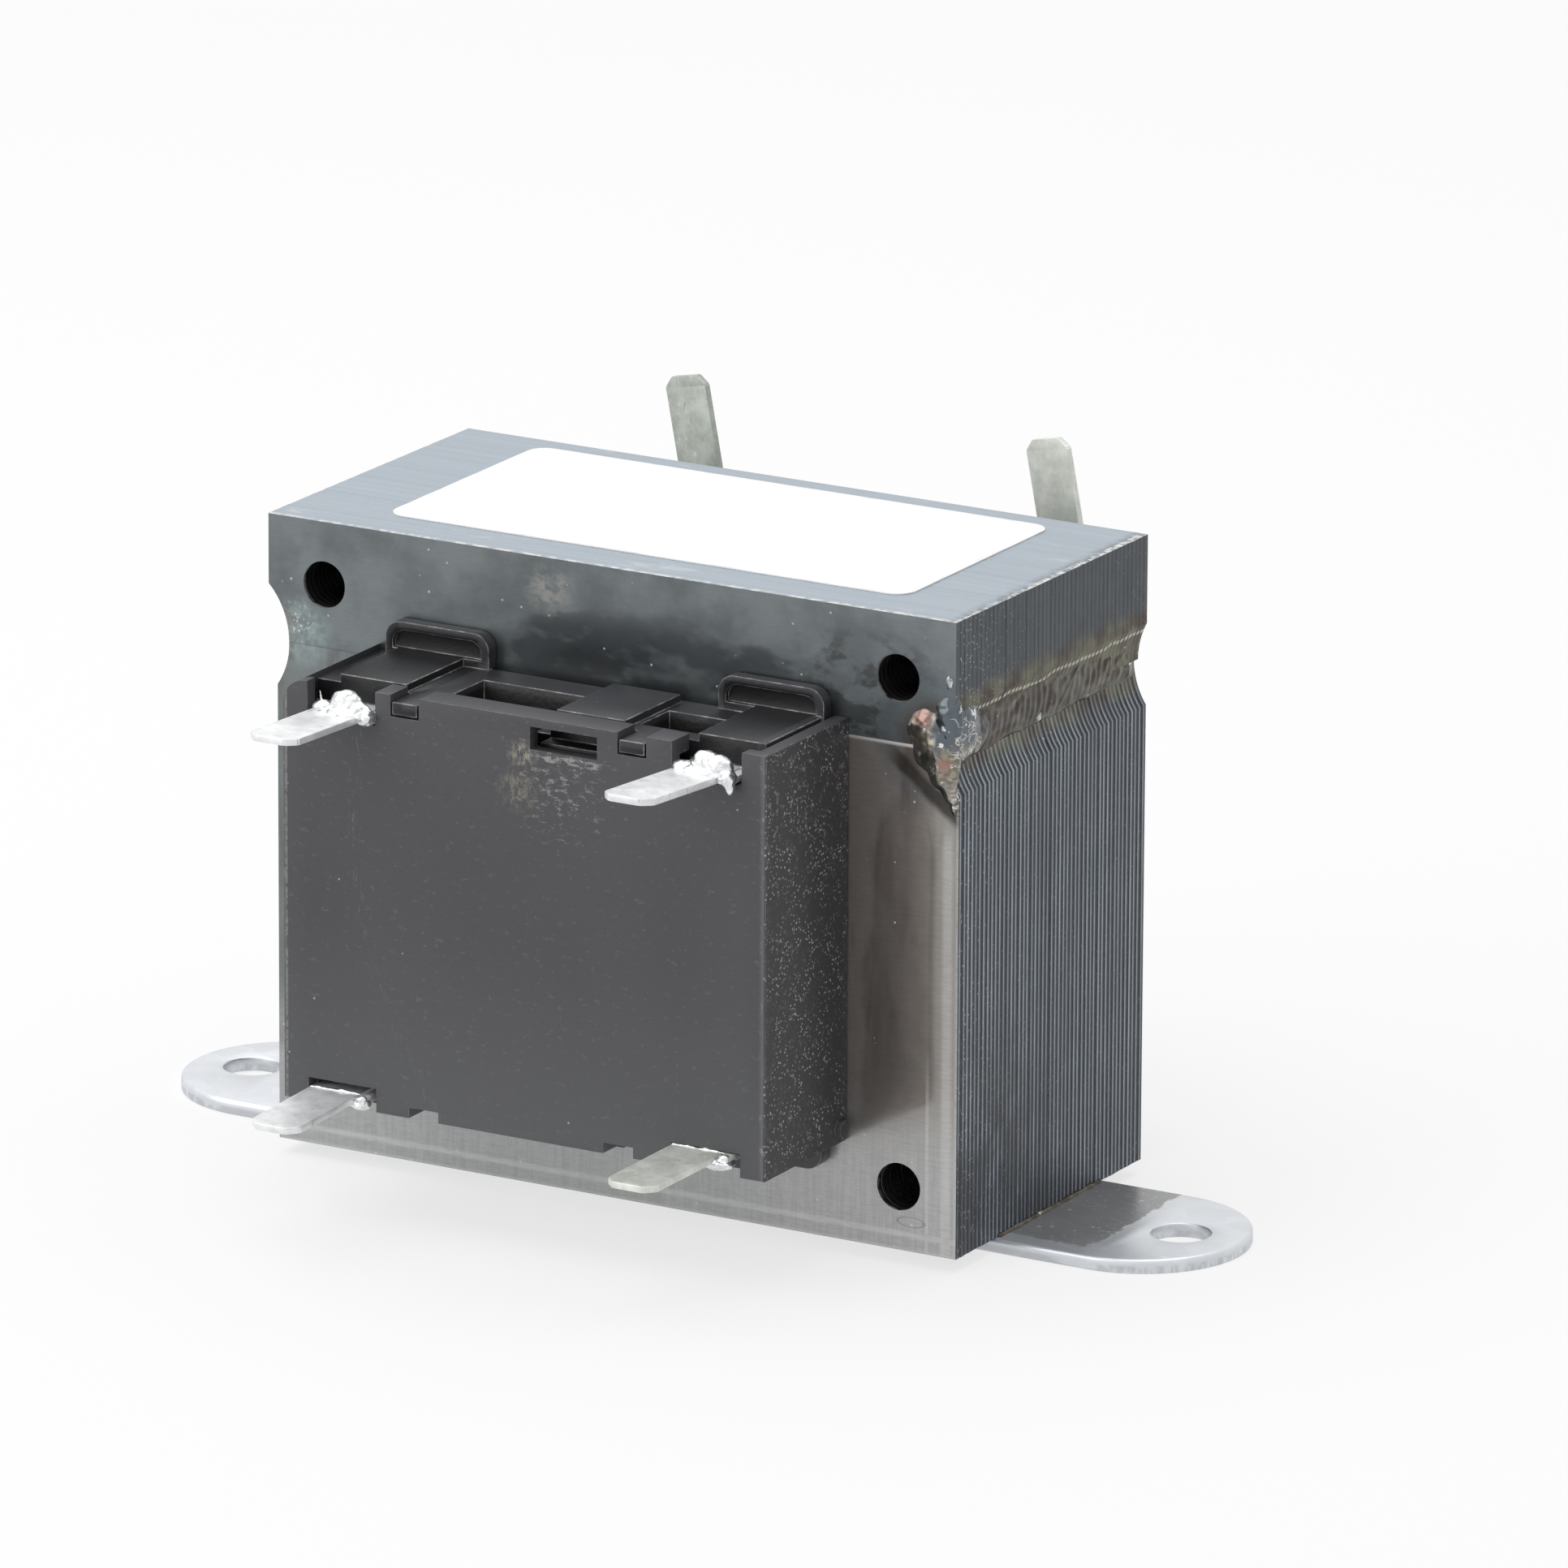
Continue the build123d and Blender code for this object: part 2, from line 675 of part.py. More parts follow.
for name, turn, hand, above, shape in terminals:
    blade_centre, level = seat(hand, above, shape)
    stamp = front_terminal if turn > 0 else rear_terminal
    terminal = stamp(blade_centre, level, *shape[2:])
    save(terminal, "terminal_" + name)
    save(solder_joint(turn, blade_centre, level, above, terminal), "solder_" + name)
    save(lead(turn, blade_centre, level, above), "lead_" + name)

# Rating label, left bare
with BuildPart() as label:
    with BuildSketch(Plane.XY.offset(core_top)):
        with Locations((0, label_shift)):
            RectangleRounded(label_length, label_width, label_corner)
    extrude(amount=label_thickness)
save(label, "rating_label")
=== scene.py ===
# %% [markdown]
# # A laminated mains transformer
# The solids of this part come from a CAD file and stay where they are: they are the fixed frame
# that everything here is built around. Blender gives them their looks: stamped sheet steel under
# varnish, a heat-tinted weld, black nylon, tinned blades with solder on them, and a bare label.
# The frame is loaded first.

# %% Load the frame
import math
import random
from contextlib import contextmanager

import bmesh
import bpy
from mathutils import Euler, Matrix, Vector, noise


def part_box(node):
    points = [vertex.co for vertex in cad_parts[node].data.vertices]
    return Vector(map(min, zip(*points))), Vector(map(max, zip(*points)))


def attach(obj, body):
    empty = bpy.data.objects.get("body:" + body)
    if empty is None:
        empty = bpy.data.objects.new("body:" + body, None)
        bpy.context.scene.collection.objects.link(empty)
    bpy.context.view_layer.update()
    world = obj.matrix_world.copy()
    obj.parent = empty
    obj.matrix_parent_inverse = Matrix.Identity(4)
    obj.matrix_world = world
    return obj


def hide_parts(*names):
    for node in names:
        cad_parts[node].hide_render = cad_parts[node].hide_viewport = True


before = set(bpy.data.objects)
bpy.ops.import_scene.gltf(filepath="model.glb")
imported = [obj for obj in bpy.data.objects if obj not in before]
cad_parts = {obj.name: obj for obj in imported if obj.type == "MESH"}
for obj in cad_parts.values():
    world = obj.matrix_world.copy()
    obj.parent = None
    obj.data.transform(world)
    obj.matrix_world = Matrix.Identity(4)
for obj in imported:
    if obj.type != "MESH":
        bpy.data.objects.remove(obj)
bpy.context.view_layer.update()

# %% [markdown]
# ## Camera
# The picture was taken with a long lens from the front right, a little above. The lens and the
# place were worked out beforehand from the straight edges of the core, so the camera is simply
# put there: a direction, a distance and a slight roll.

# %% Camera
azimuth = math.radians(29.816)
elevation = math.radians(16.372)
roll = math.radians(0.279)
distance = 1.3643
target = Vector((0.007217, 0, 0.034905))
photo_width = 1932
focal_length_in_pixels = 19769.7

back = Vector(
    (
        math.sin(azimuth) * math.cos(elevation),
        -math.cos(azimuth) * math.cos(elevation),
        math.sin(elevation),
    )
)
camera_data = bpy.data.cameras.new("camera")
camera_data.sensor_width = 36
camera_data.lens = camera_data.sensor_width * focal_length_in_pixels / photo_width
camera_data.clip_start = 0.01
camera = bpy.data.objects.new("camera", camera_data)
camera.rotation_mode = "QUATERNION"
camera.location = target + distance * back
level_view = (-back).to_track_quat("-Z", "Y")
camera.rotation_quaternion = level_view @ Matrix.Rotation(roll, 3, "Z").to_quaternion()
bpy.context.scene.collection.objects.link(camera)
bpy.context.scene.camera = camera
bpy.context.scene.view_settings.view_transform = "Standard"
print("camera at", [round(value, 3) for value in camera.location])

# %% [markdown]
# ## A way to write materials
# A procedural material is a sum: a base colour, plus stains, minus dust, and so on. Drawn as nodes
# that gets long, so here a socket is wrapped in a small class whose operators add the Math nodes.
# Everything else, colours and vectors too, comes from one method that takes the node's type, its
# settings and what its sockets get. Places are in millimetres of the part's own frame, so a stain
# can be put where the real one is.

# %% Sums of sockets
class Tone:
    """One number that varies over a surface. Sums written with it become Math nodes."""

    def __init__(self, recipe, socket):
        self.recipe = recipe
        self.socket = socket

    def math(self, operation, first, second):
        return self.recipe.node("Math", {"operation": operation}, {0: first, 1: second})

    def __add__(self, other):
        return self.math("ADD", self, other)

    def __sub__(self, other):
        return self.math("SUBTRACT", self, other)

    def __rsub__(self, other):
        return self.math("SUBTRACT", other, self)

    def __mul__(self, other):
        return self.math("MULTIPLY", self, other)

    def __truediv__(self, other):
        return self.math("DIVIDE", self, other)

    __radd__ = __add__
    __rmul__ = __mul__


# %% [markdown]
# The recipe below holds one material. Its helpers are the few patterns that every finish here
# needs: a smooth fade between two values, cloudy noise that can be stretched into streaks, small
# specks of dust, a round spot, a band with soft edges and a blend of two colours. A finish starts
# from a base of two colours, and every stain after it is one more layer over what is there.

# %% Recipe for one material
def paint(red, green, blue):
    """A colour as it looks on a screen, 0 to 255, turned into the linear values that Blender uses."""
    shares = [value / 255 for value in (red, green, blue)]
    linear = [((share + 0.055) / 1.055) ** 2.4 if share > 0.04 else share / 12.92 for share in shares]
    return (*linear, 1.0)


class Recipe:
    """A material with a Principled shader and helpers that add nodes in front of it."""

    def __init__(self, name):
        self.material = bpy.data.materials.new(name)
        self.material.use_nodes = True
        self.tree = self.material.node_tree
        self.shader = self.tree.nodes["Principled BSDF"]
        spot = self.node("TexCoord", output="Object")
        self.spot = self.node("VectorMath", {"operation": "SCALE"}, {0: spot, "Scale": 1000.0})
        self.x, self.y, self.z = [self.node("SeparateXYZ", {}, {0: self.spot}, axis) for axis in "XYZ"]
        self.colour = None

    def node(self, kind, settings={}, sockets={}, output=0):
        node = self.tree.nodes.new("ShaderNode" + kind)
        for name, value in settings.items():
            if name == "stops":
                for _ in value[2:]:
                    node.color_ramp.elements.new(0.5)
                for element, (position, colour) in zip(node.color_ramp.elements, value):
                    element.position = position
                    element.color = colour
            else:
                setattr(node, name, value)
        for name, value in sockets.items():
            self.feed(node.inputs[name], value)
        return Tone(self, node.outputs[output])

    def feed(self, socket, value):
        if isinstance(value, Tone):
            self.tree.links.new(value.socket, socket)
        else:
            socket.default_value = value

    def fade(self, value, start, end):
        # 0 at start, 1 at end, smooth between, also where end is the lower one
        low, high, first, last = (start, end, 0.0, 1.0) if start < end else (end, start, 1.0, 0.0)
        sockets = {"Value": value, "From Min": low, "From Max": high, "To Min": first, "To Max": last}
        return self.node("MapRange", {"interpolation_type": "SMOOTHSTEP"}, sockets)

    def cloud(self, scale, detail=3.0, stretch=(1.0, 1.0, 1.0), rough=0.5, shift=(0.0, 0.0, 0.0)):
        moved = self.node("VectorMath", {"operation": "ADD"}, {0: self.spot, 1: shift})
        drawn = self.node("VectorMath", {"operation": "MULTIPLY"}, {0: moved, 1: stretch})
        sockets = {"Vector": drawn, "Scale": scale, "Detail": detail, "Roughness": rough}
        return self.node("TexNoise", {}, sockets, "Fac")

    def patches(self, start, end, *sizes, **more):
        # Where a cloud is thick: 0 up to start, 1 from end
        return self.fade(self.cloud(*sizes, **more), start, end)

    def specks(self, scale, size, share):
        # Small round grains: a Voronoi cell keeps its grain where its own random number is high
        sockets = {"Vector": self.spot, "Scale": scale}
        near = self.node("TexVoronoi", {}, sockets, "Distance")
        lot = self.node("TexVoronoi", {}, sockets, "Color")
        chance = self.node("SeparateColor", {}, {0: lot}, "Red")
        return self.fade(near, size, size * 0.4) * self.fade(chance, 1 - share, 1 - share + 0.02)

    def single(self, operation, value):
        # A Math node with one input, such as FLOOR or FRACT
        return self.node("Math", {"operation": operation}, {0: value})

    def gap(self, centre):
        return self.node("VectorMath", {"operation": "DISTANCE"}, {0: self.spot, 1: centre}, "Value")

    def dot(self, centre, inner, outer):
        return self.fade(self.gap(centre), outer, inner)

    def band(self, value, low, high, soft):
        return self.fade(value, low - soft, low + soft) * self.fade(value, high + soft, high - soft)

    def most(self, first, second):
        return self.node("Math", {"operation": "MAXIMUM"}, {0: first, 1: second})

    def blend(self, factor, first, second):
        return self.node("Mix", {"data_type": "RGBA"}, {0: factor, 6: first, 7: second}, 2)

    def base(self, factor, first, second):
        self.colour = self.blend(factor, first, second)

    def stain(self, mask, red, green, blue):
        self.colour = self.blend(mask, self.colour, paint(red, green, blue))

    def finish(self, roughness, metallic=0.0, height=None, depth=0.02, **constants):
        self.feed(self.shader.inputs["Base Color"], self.colour)
        self.feed(self.shader.inputs["Roughness"], roughness)
        self.feed(self.shader.inputs["Metallic"], metallic)
        for name, value in constants.items():
            self.shader.inputs[name.replace("_", " ")].default_value = value
        if height is not None:
            sockets = {"Height": height, "Strength": 1.0, "Distance": depth / 1000}
            self.feed(self.shader.inputs["Normal"], self.node("Bump", {}, sockets, "Normal"))
        print("finish:", self.material.name, len(self.tree.nodes), "nodes")
        return self.material


# %% [markdown]
# ## Stage and light
# The object stands on a plain white floor in a white studio. Two broad, soft lamps and an even
# world light it at a plain level, so that a colour comes out about as it is written. What the
# camera, a mirror or glass sees behind the object is white by Light Path, and not by more light.

# %% World
world = bpy.data.worlds.new("studio")
world.use_nodes = True
world_tree = world.node_tree
light_path = world_tree.nodes.new("ShaderNodeLightPath")
seen = light_path.outputs["Is Camera Ray"]
for kind in ("Is Glossy Ray", "Is Transmission Ray"):
    either = world_tree.nodes.new("ShaderNodeMath")
    either.operation = "MAXIMUM"
    world_tree.links.new(seen, either.inputs[0])
    world_tree.links.new(light_path.outputs[kind], either.inputs[1])
    seen = either.outputs[0]
strength = world_tree.nodes.new("ShaderNodeMapRange")
strength.inputs["To Min"].default_value = 0.5
strength.inputs["To Max"].default_value = 1.0
world_tree.links.new(seen, strength.inputs["Value"])
world_light = world_tree.nodes["Background"]
world_light.inputs["Color"].default_value = (1, 1, 1, 1)
world_tree.links.new(strength.outputs["Result"], world_light.inputs["Strength"])
bpy.context.scene.world = world


# %% Lamps and floor
def soft_lamp(name, place, size, power):
    lamp_data = bpy.data.lights.new(name, "AREA")
    lamp_data.shape = "RECTANGLE"
    lamp_data.size = lamp_data.size_y = size
    lamp_data.energy = power
    lamp = bpy.data.objects.new(name, lamp_data)
    lamp.location = place
    lamp.rotation_mode = "QUATERNION"
    lamp.rotation_quaternion = (lit_middle - Vector(place)).to_track_quat("-Z", "Y")
    bpy.context.scene.collection.objects.link(lamp)


lit_middle = Vector((0, 0, 0.03))
soft_lamp("top_lamp", (-0.15, 0.05, 0.75), size=0.9, power=3.6)
soft_lamp("front_lamp", (-0.55, -0.75, 0.45), size=0.8, power=3.0)

floor_mesh = bpy.data.meshes.new("floor")
half_floor = 6
floor_corners = [(x * half_floor, y * half_floor, 0) for x, y in ((-1, -1), (1, -1), (1, 1), (-1, 1))]
floor_mesh.from_pydata(floor_corners, [], [(0, 1, 2, 3)])
floor = bpy.data.objects.new("floor", floor_mesh)
bpy.context.scene.collection.objects.link(floor)
floor_paint = Recipe("floor_white")
floor_paint.colour = (0.95, 0.95, 0.95, 1.0)
floor_mesh.materials.append(floor_paint.finish(0.9, Specular_IOR_Level=0.1))

# Seen by the camera or in a mirror, most of the floor is plain white, so its shadow stays faint
seen_floor = floor_paint.node("LightPath", output="Is Camera Ray")
for kind in ("Is Glossy Ray", "Is Transmission Ray"):
    seen_floor = floor_paint.most(seen_floor, floor_paint.node("LightPath", output=kind))
plain_white = floor_paint.node("Emission", {}, {"Strength": 1.0}, "Emission")
plain_share = 0.72
floor_look = floor_paint.node("MixShader", {}, {0: seen_floor * plain_share, 2: plain_white}, "Shader")
floor_paint.tree.links.new(floor_paint.shader.outputs[0], floor_look.socket.node.inputs[1])
floor_end = floor_paint.tree.nodes["Material Output"]
floor_paint.tree.links.new(floor_look.socket, floor_end.inputs["Surface"])
print("stage: floor and", len(bpy.data.lights), "lamps")

# %% [markdown]
# ## Sizes that the looks share with the solids
# Millimetres, with the origin under the middle of the foot plate, as in the CAD. A wasteless
# punching makes every width of the core a multiple of half its tongue. The weld runs along the
# joint between the E sheets and the I bars, in a shallow round notch on each side.

# %% Shared sizes
half_tongue = 11.1125
half_core = 3 * half_tongue
foot_top = 1.25
joint_level = foot_top + 4 * half_tongue
core_top = joint_level + half_tongue
sheet_count = 47
sheet_thickness = 0.635
sheet_pitch = 0.69
sheet_gap = 0.055
half_depth = (sheet_count * sheet_pitch - sheet_gap) / 2
bar_shift = -0.6
bar_extra = 0.45
bar_left = bar_shift - half_core - bar_extra / 2
bar_right = bar_shift + half_core + bar_extra / 2
weld_level = joint_level + 0.6
print("core in mm:", 2 * half_core, "wide,", round(2 * half_depth, 2), "deep, top at", core_top)

# %% [markdown]
# ## Helpers for meshes
# Meshes are worked out in millimetres, because the voxel remesher and the bevels behave well at
# that size, and scaled to metres at the end. A piece that stands for a solid hides that solid and
# rides on the one body of this part.

# %% Modifiers and shading
def smooth_by_angle(mesh, degrees):
    mesh.shade_smooth()
    mesh.set_sharp_from_angle(angle=math.radians(degrees))


def applied(shape, *modifiers):
    """The mesh of a mesh or a curve with these modifiers applied to it."""
    holder = bpy.data.objects.new("holder", shape)
    bpy.context.scene.collection.objects.link(holder)
    for kind, settings in modifiers:
        modifier = holder.modifiers.new(kind.lower(), kind)
        for name, value in settings.items():
            setattr(modifier, name, value)
    graph = bpy.context.evaluated_depsgraph_get()
    result = bpy.data.meshes.new_from_object(holder.evaluated_get(graph))
    bpy.data.objects.remove(holder)
    return result


# %% Editing a mesh
@contextmanager
def edited(mesh):
    """A mesh opened for editing, and written back when the edits are done."""
    body = bmesh.new()
    body.from_mesh(mesh)
    yield body
    body.to_mesh(mesh)
    body.free()


def skin_over(name, rings):
    """A skin over rings of points that follow each other, closed at both ends, facing outwards."""
    size = len(rings[0])
    faces = []
    for station in range(len(rings) - 1):
        for row in range(size):
            here, after = station * size, (station + 1) * size
            following = (row + 1) % size
            faces.append((here + row, here + following, after + following, after + row))
    last = (len(rings) - 1) * size
    faces += [tuple(range(size)), tuple(last + row for row in reversed(range(size)))]
    mesh = bpy.data.meshes.new(name)
    mesh.from_pydata([point for ring in rings for point in ring], [], faces)
    with edited(mesh) as body:
        bmesh.ops.recalc_face_normals(body, faces=body.faces)
    return mesh


# %% A finished piece
def add_piece(name, mesh, materials, node):
    mesh.transform(Matrix.Scale(0.001, 4))
    places = [min(polygon.material_index, len(materials) - 1) for polygon in mesh.polygons]
    mesh.materials.clear()
    for material in materials:
        mesh.materials.append(material)
    mesh.polygons.foreach_set("material_index", places)
    piece = bpy.data.objects.new(name, mesh)
    bpy.context.scene.collection.objects.link(piece)
    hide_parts(node)
    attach(piece, "root")
    print("piece:", name, len(mesh.polygons), "faces")


# %% [markdown]
# Some solids already have the right shape and only miss what a tool or a mould leaves. Their mesh
# is copied, its triangles are joined to flat faces again, and its sharp edges get rounded.

# %% Copies of the solids
def solid_in_mm(node):
    """A copy of a CAD solid's mesh in millimetres, its flat faces whole again instead of triangles."""
    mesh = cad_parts[node].data.copy()
    mesh.transform(Matrix.Scale(1000, 4))
    with edited(mesh) as body:
        bmesh.ops.remove_doubles(body, verts=body.verts, dist=0.002)
        bmesh.ops.dissolve_limit(body, angle_limit=math.radians(1), verts=body.verts, edges=body.edges)
        bmesh.ops.recalc_face_normals(body, faces=body.faces)
    return mesh


def softened(mesh, width, edge_slot=-1):
    """Every sharp edge rounded, as on a moulding or a stamping, with a finish of its own if asked."""
    mesh.materials.clear()
    mesh.materials.append(None)
    mesh.materials.append(None)
    settings = {
        "material": edge_slot,
        "width": width,
        "segments": 2,
        "limit_method": "ANGLE",
        "angle_limit": math.radians(35),
        "harden_normals": False,
    }
    result = applied(mesh, ("BEVEL", settings), ("TRIANGULATE", {"min_vertices": 5}))
    smooth_by_angle(result, 42)
    return result


# %% [markdown]
# ## Finish: varnished sheet steel
# The flat faces of the core are silicon steel under a thin brown varnish. The steel is a dull
# mirror, so the dark cover shows in the leg beside it, and the varnish has run: thick and brown
# next to the coil, thin and pale towards the outer edge. The bars are darker, grey-green, with
# black pools over the coil. The heat of the weld left brown and blue rings at the corner.

# %% Varnish on the bars
def varnish_on_bars(steel):
    cloudy = steel.patches(0.35, 0.65, 0.13, 4.0, rough=0.6, shift=(3.0, 0.0, 8.0))
    steel.base(cloudy, paint(100, 106, 108), paint(122, 129, 131))
    # Black pools where varnish gathered above the coil, thinning out towards both ends
    reach = steel.band(steel.x, -11.0, 19.0, 6.0)
    reach = reach * steel.fade(steel.z, joint_level + 8.8, joint_level + 5.2)
    pool = steel.cloud(0.22, 3.0, (0.8, 1.0, 1.6), 0.55, (7.0, 0.0, 3.0)) + reach * 0.22
    steel.stain(steel.fade(pool, 0.58, 0.74) * reach * 0.95, 75, 79, 82)
    swirl = steel.patches(0.46, 0.6, 0.34, 4.0, (1.0, 1.0, 1.4), 0.6, (11.0, 0.0, 1.0))
    swirl = swirl * steel.band(steel.x, 19.0, 30.0, 3.0)
    swirl = swirl * steel.fade(steel.z, joint_level + 10.0, joint_level + 7.0)
    steel.stain(swirl * 0.75, 58, 60, 60)
    # A pale brown smear above the pools
    smear = steel.dot((-6.4, -half_depth, joint_level + 8.3), 0.6, 3.2)
    smear = smear * steel.patches(0.4, 0.62, 0.7, 4.0, (1.0, 1.0, 1.4), 0.7, (2.0, 0.0, 7.0))
    steel.stain(smear * 0.75, 158, 156, 150)


# %% [markdown]
# The E sheets are paler. A brown film covers their right leg, the yoke at the foot is painted pale
# as a painted reflection of the white floor, and a pool of thicker varnish with a round top and a
# slanting foot dried in the middle of the leg. Each of these is one stain, held in its place by fades along
# the part's own axes.

# %% Varnish on the E sheets
def varnish_on_sheets(steel):
    brown = steel.blend(steel.fade(steel.x, 24.0, 33.0), paint(154, 147, 143), paint(165, 161, 156))
    steel.base(steel.fade(steel.x, 12.0, 18.0), paint(122, 128, 129), brown)
    # Painted reflection: the yoke at the foot is painted pale for the white floor it reflects
    yoke = steel.fade(steel.z, 16.0, 8.0)
    steel.stain(yoke * 0.85, 184, 185, 185)
    streaks = steel.patches(0.4, 0.64, 0.7, 4.0, (5.0, 1.0, 0.25), 0.7)
    steel.stain(streaks * yoke * 0.35, 150, 151, 152)
    runs = steel.patches(0.46, 0.72, 0.4, 3.0, (1.0, 1.0, 0.2), 0.6, (1.0, 0.0, 5.0))
    steel.stain(runs * steel.fade(steel.z, 14.0, 20.0) * 0.5, 84, 77, 73)


def pool_in_leg(steel):
    from_middle = steel.x - 28.3
    sway = (steel.cloud(0.06, 3.0) - 0.5) * 2.4
    lean = (1 - steel.fade(steel.z, 8.0, 40.0)) * 1.2
    pool = steel.fade(steel.x + sway + lean, 24.9, 26.3)
    pool = pool * steel.fade(steel.x + sway * 0.5, 31.6, 30.2)
    pool = pool * steel.fade(steel.z + from_middle * from_middle * 0.45 + sway, 42.2, 38.8)
    pool = pool * steel.fade(steel.z - (steel.x - 25.3) * 0.52, 11.4, 12.6)
    brown = steel.blend(steel.fade(steel.z, 44.0, 20.0), paint(140, 130, 124), paint(116, 107, 100))
    steel.colour = steel.blend(pool * 0.6, steel.colour, brown)
    shore = pool * (1 - steel.fade(pool, 0.4, 0.95))
    steel.stain(shore * steel.patches(0.35, 0.65, 0.12, 3.0) * 0.9, 92, 86, 82)


def lines_and_rings(steel):
    # Pale strips that the varnish left along the outer edges
    strip = steel.band(steel.x, half_core - 1.5, half_core - 0.6, 0.25) * steel.fade(steel.z, 40.0, 37.0)
    thin = steel.band(steel.x, half_core - 3.0, half_core - 2.7, 0.1) * steel.fade(steel.z, 20.0, 12.0)
    low = steel.band(steel.z, foot_top + 1.2, foot_top + 1.7, 0.15)
    steel.stain(steel.most(steel.most(strip, thin), low) * 0.55, 206, 206, 204)
    # The shade under the cover, and a flat ring pressed in below the hole
    under = steel.band(steel.z, 9.6, 11.4, 0.8) * steel.fade(steel.x, 24.0, 21.0)
    steel.stain(under * 0.45, 120, 121, 123)
    middle = steel.node("VectorMath", {"operation": "SUBTRACT"}, {0: steel.spot, 1: (29.0, 0.0, 3.85)})
    flat = steel.node("VectorMath", {"operation": "MULTIPLY"}, {0: middle, 1: (1.0, 0.0, 3.0)})
    away = steel.node("VectorMath", {"operation": "LENGTH"}, {0: flat}, "Value")
    steel.stain(steel.band(away, 1.2, 1.4, 0.12) * 0.5, 100, 100, 100)


# %% [markdown]
# The welds left their marks on both kinds of face: heat rings and a dark run of burnt varnish at
# the front right corner, and a flush brown end with a scooped, silvery patch at the left one.

# %% Marks of the welds
def heat_rings(steel):
    """Brown, then blue, then clean steel around the front end of the right weld."""
    gap = steel.gap((half_core - 2.2, -half_depth, weld_level)) + steel.cloud(0.5, 2.0) * 1.6
    steel.stain(steel.band(gap, 4.8, 6.6, 0.9) * 0.35, 74, 84, 96)
    steel.stain(steel.fade(gap, 5.2, 3.6) * 0.6, 72, 58, 50)


def burnt_run(steel):
    """A dark run under the drop of weld, and a bright line along the top of the E face at the joint beside
    it.
    """
    ahead = steel.fade(steel.y, -8.0, -14.0)
    below = steel.z - joint_level + 1.2 + (steel.x - 27.6) * 0.76 + steel.cloud(0.5, 2.0) * 0.8
    run = steel.band(below, -0.9, 0.9, 0.5) * steel.fade(steel.x, 25.8, 28.0)
    steel.stain(run * ahead * 0.85, 48, 42, 38)
    joint = ahead * steel.fade(steel.z, joint_level - 0.42, joint_level - 0.16)
    joint = joint * steel.fade(steel.x, 29.4, 28.8) * steel.fade(steel.x, 20.0, 22.0)
    steel.stain(joint, 236, 236, 234)


def left_weld_end(steel):
    # The end of the left bead lies flush in the face, brown and pitted beside the notch
    flush = steel.fade(steel.x, -half_core + 2.1, -half_core + 1.5)
    flush = flush * steel.band(steel.z, joint_level - 1.6, joint_level + 3.2, 0.6)
    steel.stain(flush * 0.7, 92, 76, 72)
    # A scooped, silvery green patch beside it, with scratches in it
    scoop = steel.dot((-half_core + 2.4, -half_depth, joint_level + 1.0), 1.6, 3.9)
    worn = steel.patches(0.38, 0.62, 1.1, 4.0, rough=0.7)
    steel.stain(scoop * (0.35 + worn * 0.4), 148, 164, 162)
    nick = steel.dot((-half_core + 2.0, -half_depth, joint_level + 2.0), 0.6, 2.4)
    scratched = steel.patches(0.54, 0.62, 2.6, 4.0, (1.0, 1.0, 0.7), 0.8)
    steel.stain(nick * scratched * 0.8, 218, 222, 220)


# %% Faces of the sheets and the bars
def steel_face(name, of_bars):
    steel = Recipe(name)
    grain = steel.cloud(0.9, 5.0, (1.0, 1.0, 7.0), 0.65)
    if of_bars:
        varnish_on_bars(steel)
    else:
        varnish_on_sheets(steel)
        pool_in_leg(steel)
        lines_and_rings(steel)
    steel.stain(steel.fade(grain, 0.35, 0.7) * 0.16, 84, 86, 88)
    heat_rings(steel)
    # Pale burrs along the outer edges and dust that the varnish caught
    rim = steel.fade(steel.x, half_core - 0.4, half_core - 0.1) * steel.fade(grain, 0.3, 0.6)
    if not of_bars:
        burnt_run(steel)
        rim = steel.most(rim, steel.fade(steel.z, foot_top + 0.35, foot_top + 0.1))
    left_weld_end(steel)
    steel.stain(rim * 0.6, 196, 198, 196)
    dust = steel.specks(1.1, 0.16, 0.12)
    steel.stain(dust * 0.8, 214, 216, 214)
    rough = steel.cloud(0.3, 3.0) * 0.16 + 0.22 + dust * 0.4
    ripple = steel.cloud(0.28, 2.0) + grain * 0.04
    return steel.finish(rough, metallic=0.62, height=ripple, depth=0.05)


face_of_sheets = steel_face("varnished_e_face", of_bars=False)
face_of_bars = steel_face("varnished_bar_face", of_bars=True)

# %% [markdown]
# ## Finish: the edges of the sheets
# Seen from the side, the core is a pack of cut edges. Each sheet was sheared, so one side of its
# edge is a bright burr and the other is rolled over and dark, and no two sheets reflect alike.
# The shear line is drawn from the place across the pack, in step with the real sheets of the
# mesh. Round the weld the edges turned brown and olive.

# %% Lines across the pack
def sheet_by_sheet(edge):
    """Across the pack: the place within its own sheet, and a random number for each sheet."""
    across = (edge.y + half_depth) / sheet_pitch
    lot = edge.single("FLOOR", across)
    own = edge.node("TexWhiteNoise", {"noise_dimensions": "1D"}, {"W": lot}, "Value")
    return edge.single("FRACT", across), own


def sheared_burr(edge, place):
    return edge.band(place, 0.2, 0.5, 0.14)


